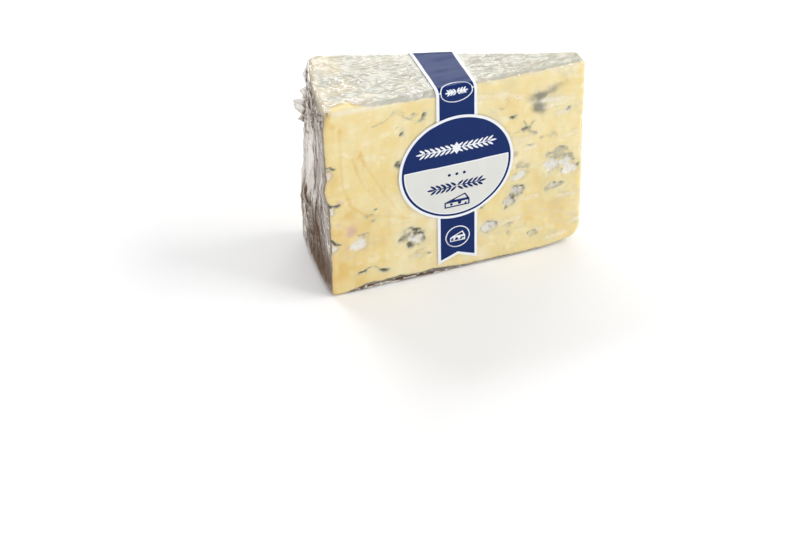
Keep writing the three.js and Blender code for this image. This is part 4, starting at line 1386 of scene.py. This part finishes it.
# Points of the band from x, the length along it and its lift: flat, bent round the top edge, flat,
# bent round the oblique back edge, flat
def bandPoints(x, length, lift):
    edge = wedge["topEdge"]
    r = edge + lift
    bend = np.clip((length - bandAtTopEdge) / edge, 0, math.pi / 2)
    y = edge - r * np.cos(bend) + np.maximum(length - bandOnTop, 0)
    z = np.minimum(length, bandAtTopEdge) + r * np.sin(bend)
    y = np.where(length <= bandAtTopEdge, -lift, y)
    past = x * backSine + y * backCosine - backLineOffset
    angle = np.clip(past / edge, 0, math.pi / 2)
    down = np.maximum(past - edgeArc, 0)
    over = past > 0
    sideways = r * np.sin(angle) - past
    return np.stack((
        np.where(over, x + sideways * backSine, x),
        np.where(over, y + sideways * backCosine, y),
        np.where(over, bandAtTopEdge + r * np.cos(angle) - down, z),
    ), axis=-1)


# Printed shapes, as signed distances in mm: positive inside. A leaf is where two circles overlap.
def lensShape(x, z, centreX, centreZ, halfLength, halfWidth, tilt):
    along, across = turned(x, z, centreX, centreZ, tilt)
    offset = (halfLength ** 2 - halfWidth ** 2) / (2 * halfWidth)
    return offset + halfWidth - np.hypot(along, np.abs(across) + offset)


# An ellipse: the distance from its middle as a share of the way to its edge, turned into mm by the
# steepness of that share
def ellipseShape(x, z, centreX, centreZ, halfX, halfZ):
    far = np.hypot((x - centreX) / halfX, (z - centreZ) / halfZ)
    steep = np.hypot((x - centreX) / halfX ** 2, (z - centreZ) / halfZ ** 2)
    return far * (1 - far) / np.maximum(steep, 1e-3)


# A convex shape, from its corners walked anticlockwise
def convexShape(x, z, corners):
    inside = np.full(np.shape(x), np.inf)
    for (x0, z0), (x1, z1) in zip(corners, corners[1:] + corners[:1]):
        length = math.hypot(x1 - x0, z1 - z0)
        inside = np.minimum(inside, ((x1 - x0) * (z - z0) - (z1 - z0) * (x - x0)) / length)
    return inside


stemWidth = 0.22
leafLean = 38    # degrees
leafGap = 0.12   # from the stem
# A leafy garland: pairs of leaves along a thin stem, leaning outwards from its middle
def garland(x, z, centreX, centreZ, halfLength, pairs, leaf):
    halfLeaf, halfWide = leaf
    side = np.abs(x - centreX)
    shape = lensShape(side, z, halfLength / 2, centreZ, halfLength / 2, stemWidth, 0)
    rise = halfLeaf * math.sin(math.radians(leafLean)) + leafGap
    for i in range(pairs):
        start = halfLength * (i + 0.7) / (pairs + 0.2)
        for way in (1, -1):
            leaning = lensShape(side, z, start, centreZ + way * rise, halfLeaf, halfWide, way * leafLean)
            shape = np.maximum(shape, leaning)
    return np.maximum(shape, lensShape(side, z, halfLength, centreZ, halfLeaf, halfWide, 0))


markHoles = ((-0.45, -0.5, 0.2), (0.2, -0.42, 0.26), (0.68, -0.66, 0.15))  # place and radius, in half sizes
# A little wedge of cheese drawn in line: an outlined triangle on a slab, with round holes
def wedgeMark(x, z, centreX, centreZ, halfX, halfZ, line):
    left = centreX - halfX
    right = centreX + halfX
    low = centreZ - halfZ
    middle = centreZ - halfZ * 0.05
    slab = convexShape(x, z, [(left, low), (right, low), (right, middle), (left, middle)])
    lid = convexShape(x, z, [(left, middle), (right, middle), (right - halfX * 0.35, centreZ + halfZ)])
    mark = np.maximum(np.minimum(slab, line - slab), np.minimum(lid, line - lid))
    for holeX, holeZ, size in markHoles:
        holeX = centreX + holeX * halfX
        holeZ = centreZ + holeZ * halfZ
        mark = np.maximum(mark, ellipseShape(x, z, holeX, holeZ, size * halfZ, size * halfZ))
    return mark


# The band: a forked strip that follows the wedge, printed navy with a white border
def bandPiece():
    across = np.linspace(band["left"], bandRight, band["cellsAcross"] + 1)
    fork = band["notch"] * (1 - np.abs(across - bandMiddle) / (band["width"] / 2))
    backEnd = bandOnTop - wedge["topEdge"] + edgeArc / backCosine
    backEnd = backEnd + (backLineOffset - band["left"] * backSine) / backCosine
    backEnd = backEnd + band["dropAtBack"] / backCosine
    start = band["tipHeight"] + fork
    end = backEnd - fork
    share = np.linspace(0, 1, band["cellsAlong"])[:, None]
    length = blend(start, end, share)
    x = np.broadcast_to(across, length.shape)
    ripple = sum(
        height * smoothNoise(seed, x / sizeAcross, length / sizeAlong, 0.0)
        for seed, height, sizeAcross, sizeAlong in band["ripples"]
    )
    backFold = backEnd - band["dropAtBack"] / backCosine
    onTop = smoothStep(length, bandOnTop, bandOnTop + 4) * smoothStep(length, backFold - 2, backFold - 6)
    sizeAcross, sizeAlong = band["waveSize"]
    wave = band["wave"] * (1 + smoothNoise(84, x / sizeAcross, length / sizeAlong, 0.0))
    ripple = ripple + wave * onTop
    under = bandPoints(x, length, band["lift"] + ripple)
    over = bandPoints(x, length, band["lift"] + ripple + band["thickness"])

    slope = math.cos(math.atan2(band["notch"], band["width"] / 2))
    fromEnds = np.minimum((length - start) * slope, (end - length) * slope)
    inBorder = np.minimum(np.minimum(x - band["left"], bandRight - x), fromEnds) - band["border"]
    foldLine = band["foldLineWidth"] - np.abs(length - band["foldLine"])
    oval = ellipseShape(x, length, bandMiddle, *band["oval"])
    ring = ellipseShape(x, length, bandMiddle, *band["ring"])
    paper = np.max((
        np.minimum(foldLine, -oval),
        np.minimum(oval, band["ovalLine"] - oval),
        garland(x, length, bandMiddle, band["oval"][0], *band["ovalSprig"]),
        np.minimum(ring, band["ringLine"] - ring),
        wedgeMark(x, length, bandMiddle, *band["cheeseMark"]),
    ), axis=0)
    # Its pale ink is nowhere
    attributes = {"navyInk": np.minimum(inBorder, -paper), "paleInk": np.full(x.shape, -1.0)}
    material = labelMaterial("coated label paper, printed band")
    return sheetPiece("bandLabel", under, over, attributes, material)


# The round label: a grid pressed into a disc, lifted where it crosses the band
def discPiece():
    grid = np.linspace(-1, 1, disc["cells"] + 1)
    u, v = np.meshgrid(grid, grid)
    x = disc["radius"] * u * np.sqrt(1 - v ** 2 / 2)
    z = disc["radius"] * v * np.sqrt(1 - u ** 2 / 2)
    atX = x + disc["centre"][0]
    clear = 2 * band["lift"]
    fromBand = np.maximum(np.maximum(band["left"] - clear - atX, atX - bandRight - clear), 0)
    lift = disc["lift"] + disc["climb"] * (1 - smoothStep(fromBand, 0, disc["rampWidth"]))
    seed, height, size = disc["ripple"]
    ripple = height * smoothNoise(seed, x / size, z / size, 0.0)
    atZ = z + disc["centre"][1]
    under = np.stack((atX, -(lift + ripple), atZ), axis=-1)
    over = np.stack((atX, -(lift + ripple + disc["thickness"]), atZ), axis=-1)

    inBorder = disc["radius"] - disc["border"] - np.hypot(x, z)
    overLine, underLine = disc["dividerGaps"]
    navyHalf = np.minimum(inBorder, z - disc["divider"] - overLine)
    ring = np.minimum(inBorder, disc["ringWidth"] - inBorder)
    starZ, halfX, halfZ = disc["star"]
    star = [(halfX, starZ), (0, starZ + halfZ), (-halfX, starZ), (0, starZ - halfZ)]
    white = np.maximum(garland(x, z, 0, *disc["navySprig"]), convexShape(x, z, star))
    dotsX, dotsZ, dotSize = disc["dots"]
    navy = np.max((
        np.minimum(navyHalf, -white),
        ring,
        *[ellipseShape(x, z, dotX, dotsZ, dotSize, dotSize) for dotX in dotsX],
        garland(x, z, 0, *disc["paleSprig"]),
        wedgeMark(x, z, 0, *disc["cheeseMark"]),
    ), axis=0)
    pale = np.minimum(inBorder - disc["ringWidth"] - disc["inline"], disc["divider"] - underLine - z)
    attributes = {"navyInk": navy, "paleInk": pale}
    material = labelMaterial("coated label paper, printed disc")
    return sheetPiece("discLabel", under, over, attributes, material)


# The camera, placed where the photo was taken from. Its frame is 800 by 539.
camera = {
    "place": (-168.4, -567.8, 456.1),
    "pitch": 36.95,          # degrees down
    "yaw": 18.71,            # degrees from +y towards +x
    "roll": -1.42,
    "lens": 101.9,
    "sensor": 36.0,
    "clip": (0.01, 20.0),    # metres
}
# It looks along its own -z: its axes are worked out from the three angles
def addCamera():
    pitch = math.radians(camera["pitch"])
    yaw = math.radians(camera["yaw"])
    roll = math.radians(camera["roll"])
    ahead = np.array((math.sin(yaw) * math.cos(pitch), math.cos(yaw) * math.cos(pitch), -math.sin(pitch)))
    level = np.array((math.cos(yaw), -math.sin(yaw), 0.0))
    above = np.cross(level, ahead)
    right = math.cos(roll) * level + math.sin(roll) * above
    top = math.cos(roll) * above - math.sin(roll) * level
    place = (np.array(camera["place"]) + shift) * mm
    lens = bpy.data.cameras.new("camera")
    lens.lens = camera["lens"]
    lens.sensor_width = camera["sensor"]
    lens.clip_start, lens.clip_end = camera["clip"]
    lens.dof.use_dof = False
    view = bpy.data.objects.new("camera", lens)
    rows = np.column_stack((right, top, -ahead, place)).tolist()
    view.matrix_world = Matrix(rows + [[0, 0, 0, 1]])
    bpy.context.scene.collection.objects.link(view)
    bpy.context.scene.camera = view


# A pale room: a wide floor, an even sky and soft boxes
lamps = [
    # name, place in metres, height of its aim over the middle, width, height, watts
    ("keyLamp", (1.00, -0.45, 1.00), 0.03, 0.9, 0.7, 10.4),
    ("fillLamp", (-0.80, -1.00, 0.70), 0.03, 1.2, 1.0, 5.0),
    ("windowLamp", (0.95, -0.85, 0.35), 0.03, 0.25, 0.12, 1.5),
    ("backLamp", (0.45, 1.25, 0.95), 0.05, 1.5, 0.4, 8.0),
    ("glintLamp", (-0.25, 0.75, 0.95), 0.05, 0.36, 0.22, 3.6),
]
studio = {
    "light": "#ffffff",
    "skyStrength": 0.5,
    "floor": "#f5f5f5",
    "floorRoughness": 0.9,
    "floorSpecular": 0.1,
    "floorSize": 6.0,
}
def addStudio():
    world = bpy.data.worlds.new("studio")
    world.use_nodes = True
    world.node_tree.nodes.clear()
    colour = linear(studio["light"])
    sky = {"Color": colour, "Strength": studio["skyStrength"]}
    sky = addNode(world.node_tree, "Background", 0, sky)
    addNode(world.node_tree, "OutputWorld", None, {"Surface": sky})
    bpy.context.scene.world = world
    for name, place, aim, width, height, watts in lamps:
        light = bpy.data.lights.new(name, "AREA")
        light.shape = "RECTANGLE"
        light.size = width
        light.size_y = height
        light.energy = watts
        light.color = colour[:3]
        lamp = bpy.data.objects.new(name, light)
        lamp.location = place
        awayX, awayY, awayZ = place
        tilt = math.atan2(math.hypot(awayX, awayY), awayZ - aim)
        lamp.rotation_euler = (tilt, 0, math.atan2(awayX, -awayY))
        bpy.context.scene.collection.objects.link(lamp)

    material, tree = newMaterial("painted board, matt")
    shader = addNode(tree, "BsdfPrincipled", 0, {
        "Base Color": linear(studio["floor"]),
        "Roughness": studio["floorRoughness"],
        "Specular IOR Level": studio["floorSpecular"],
    })
    addNode(tree, "OutputMaterial", None, {"Surface": shader})
    half = studio["floorSize"] / 2
    mesh = bpy.data.meshes.new("floor")
    corners = [(-half, -half, 0), (half, -half, 0), (half, half, 0), (-half, half, 0)]
    mesh.from_pydata(corners, [], [(0, 1, 2, 3)])
    mesh.materials.append(material)
    floor = bpy.data.objects.new("floor", mesh)
    bpy.context.scene.collection.objects.link(floor)
    bpy.context.scene.view_settings.view_transform = "Standard"


addCamera()
addStudio()
print("camera and studio stand")

cheeseBody = cheesePiece()
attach(cheeseBody, "root")
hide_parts("wrapped_wedge")

filmSkin = filmPiece()
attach(filmSkin, "root")
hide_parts("wrapped_wedge")

bandLabel = bandPiece()
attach(bandLabel, "root")
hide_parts("label_band")

discLabel = discPiece()
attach(discLabel, "root")
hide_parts("label_disc")
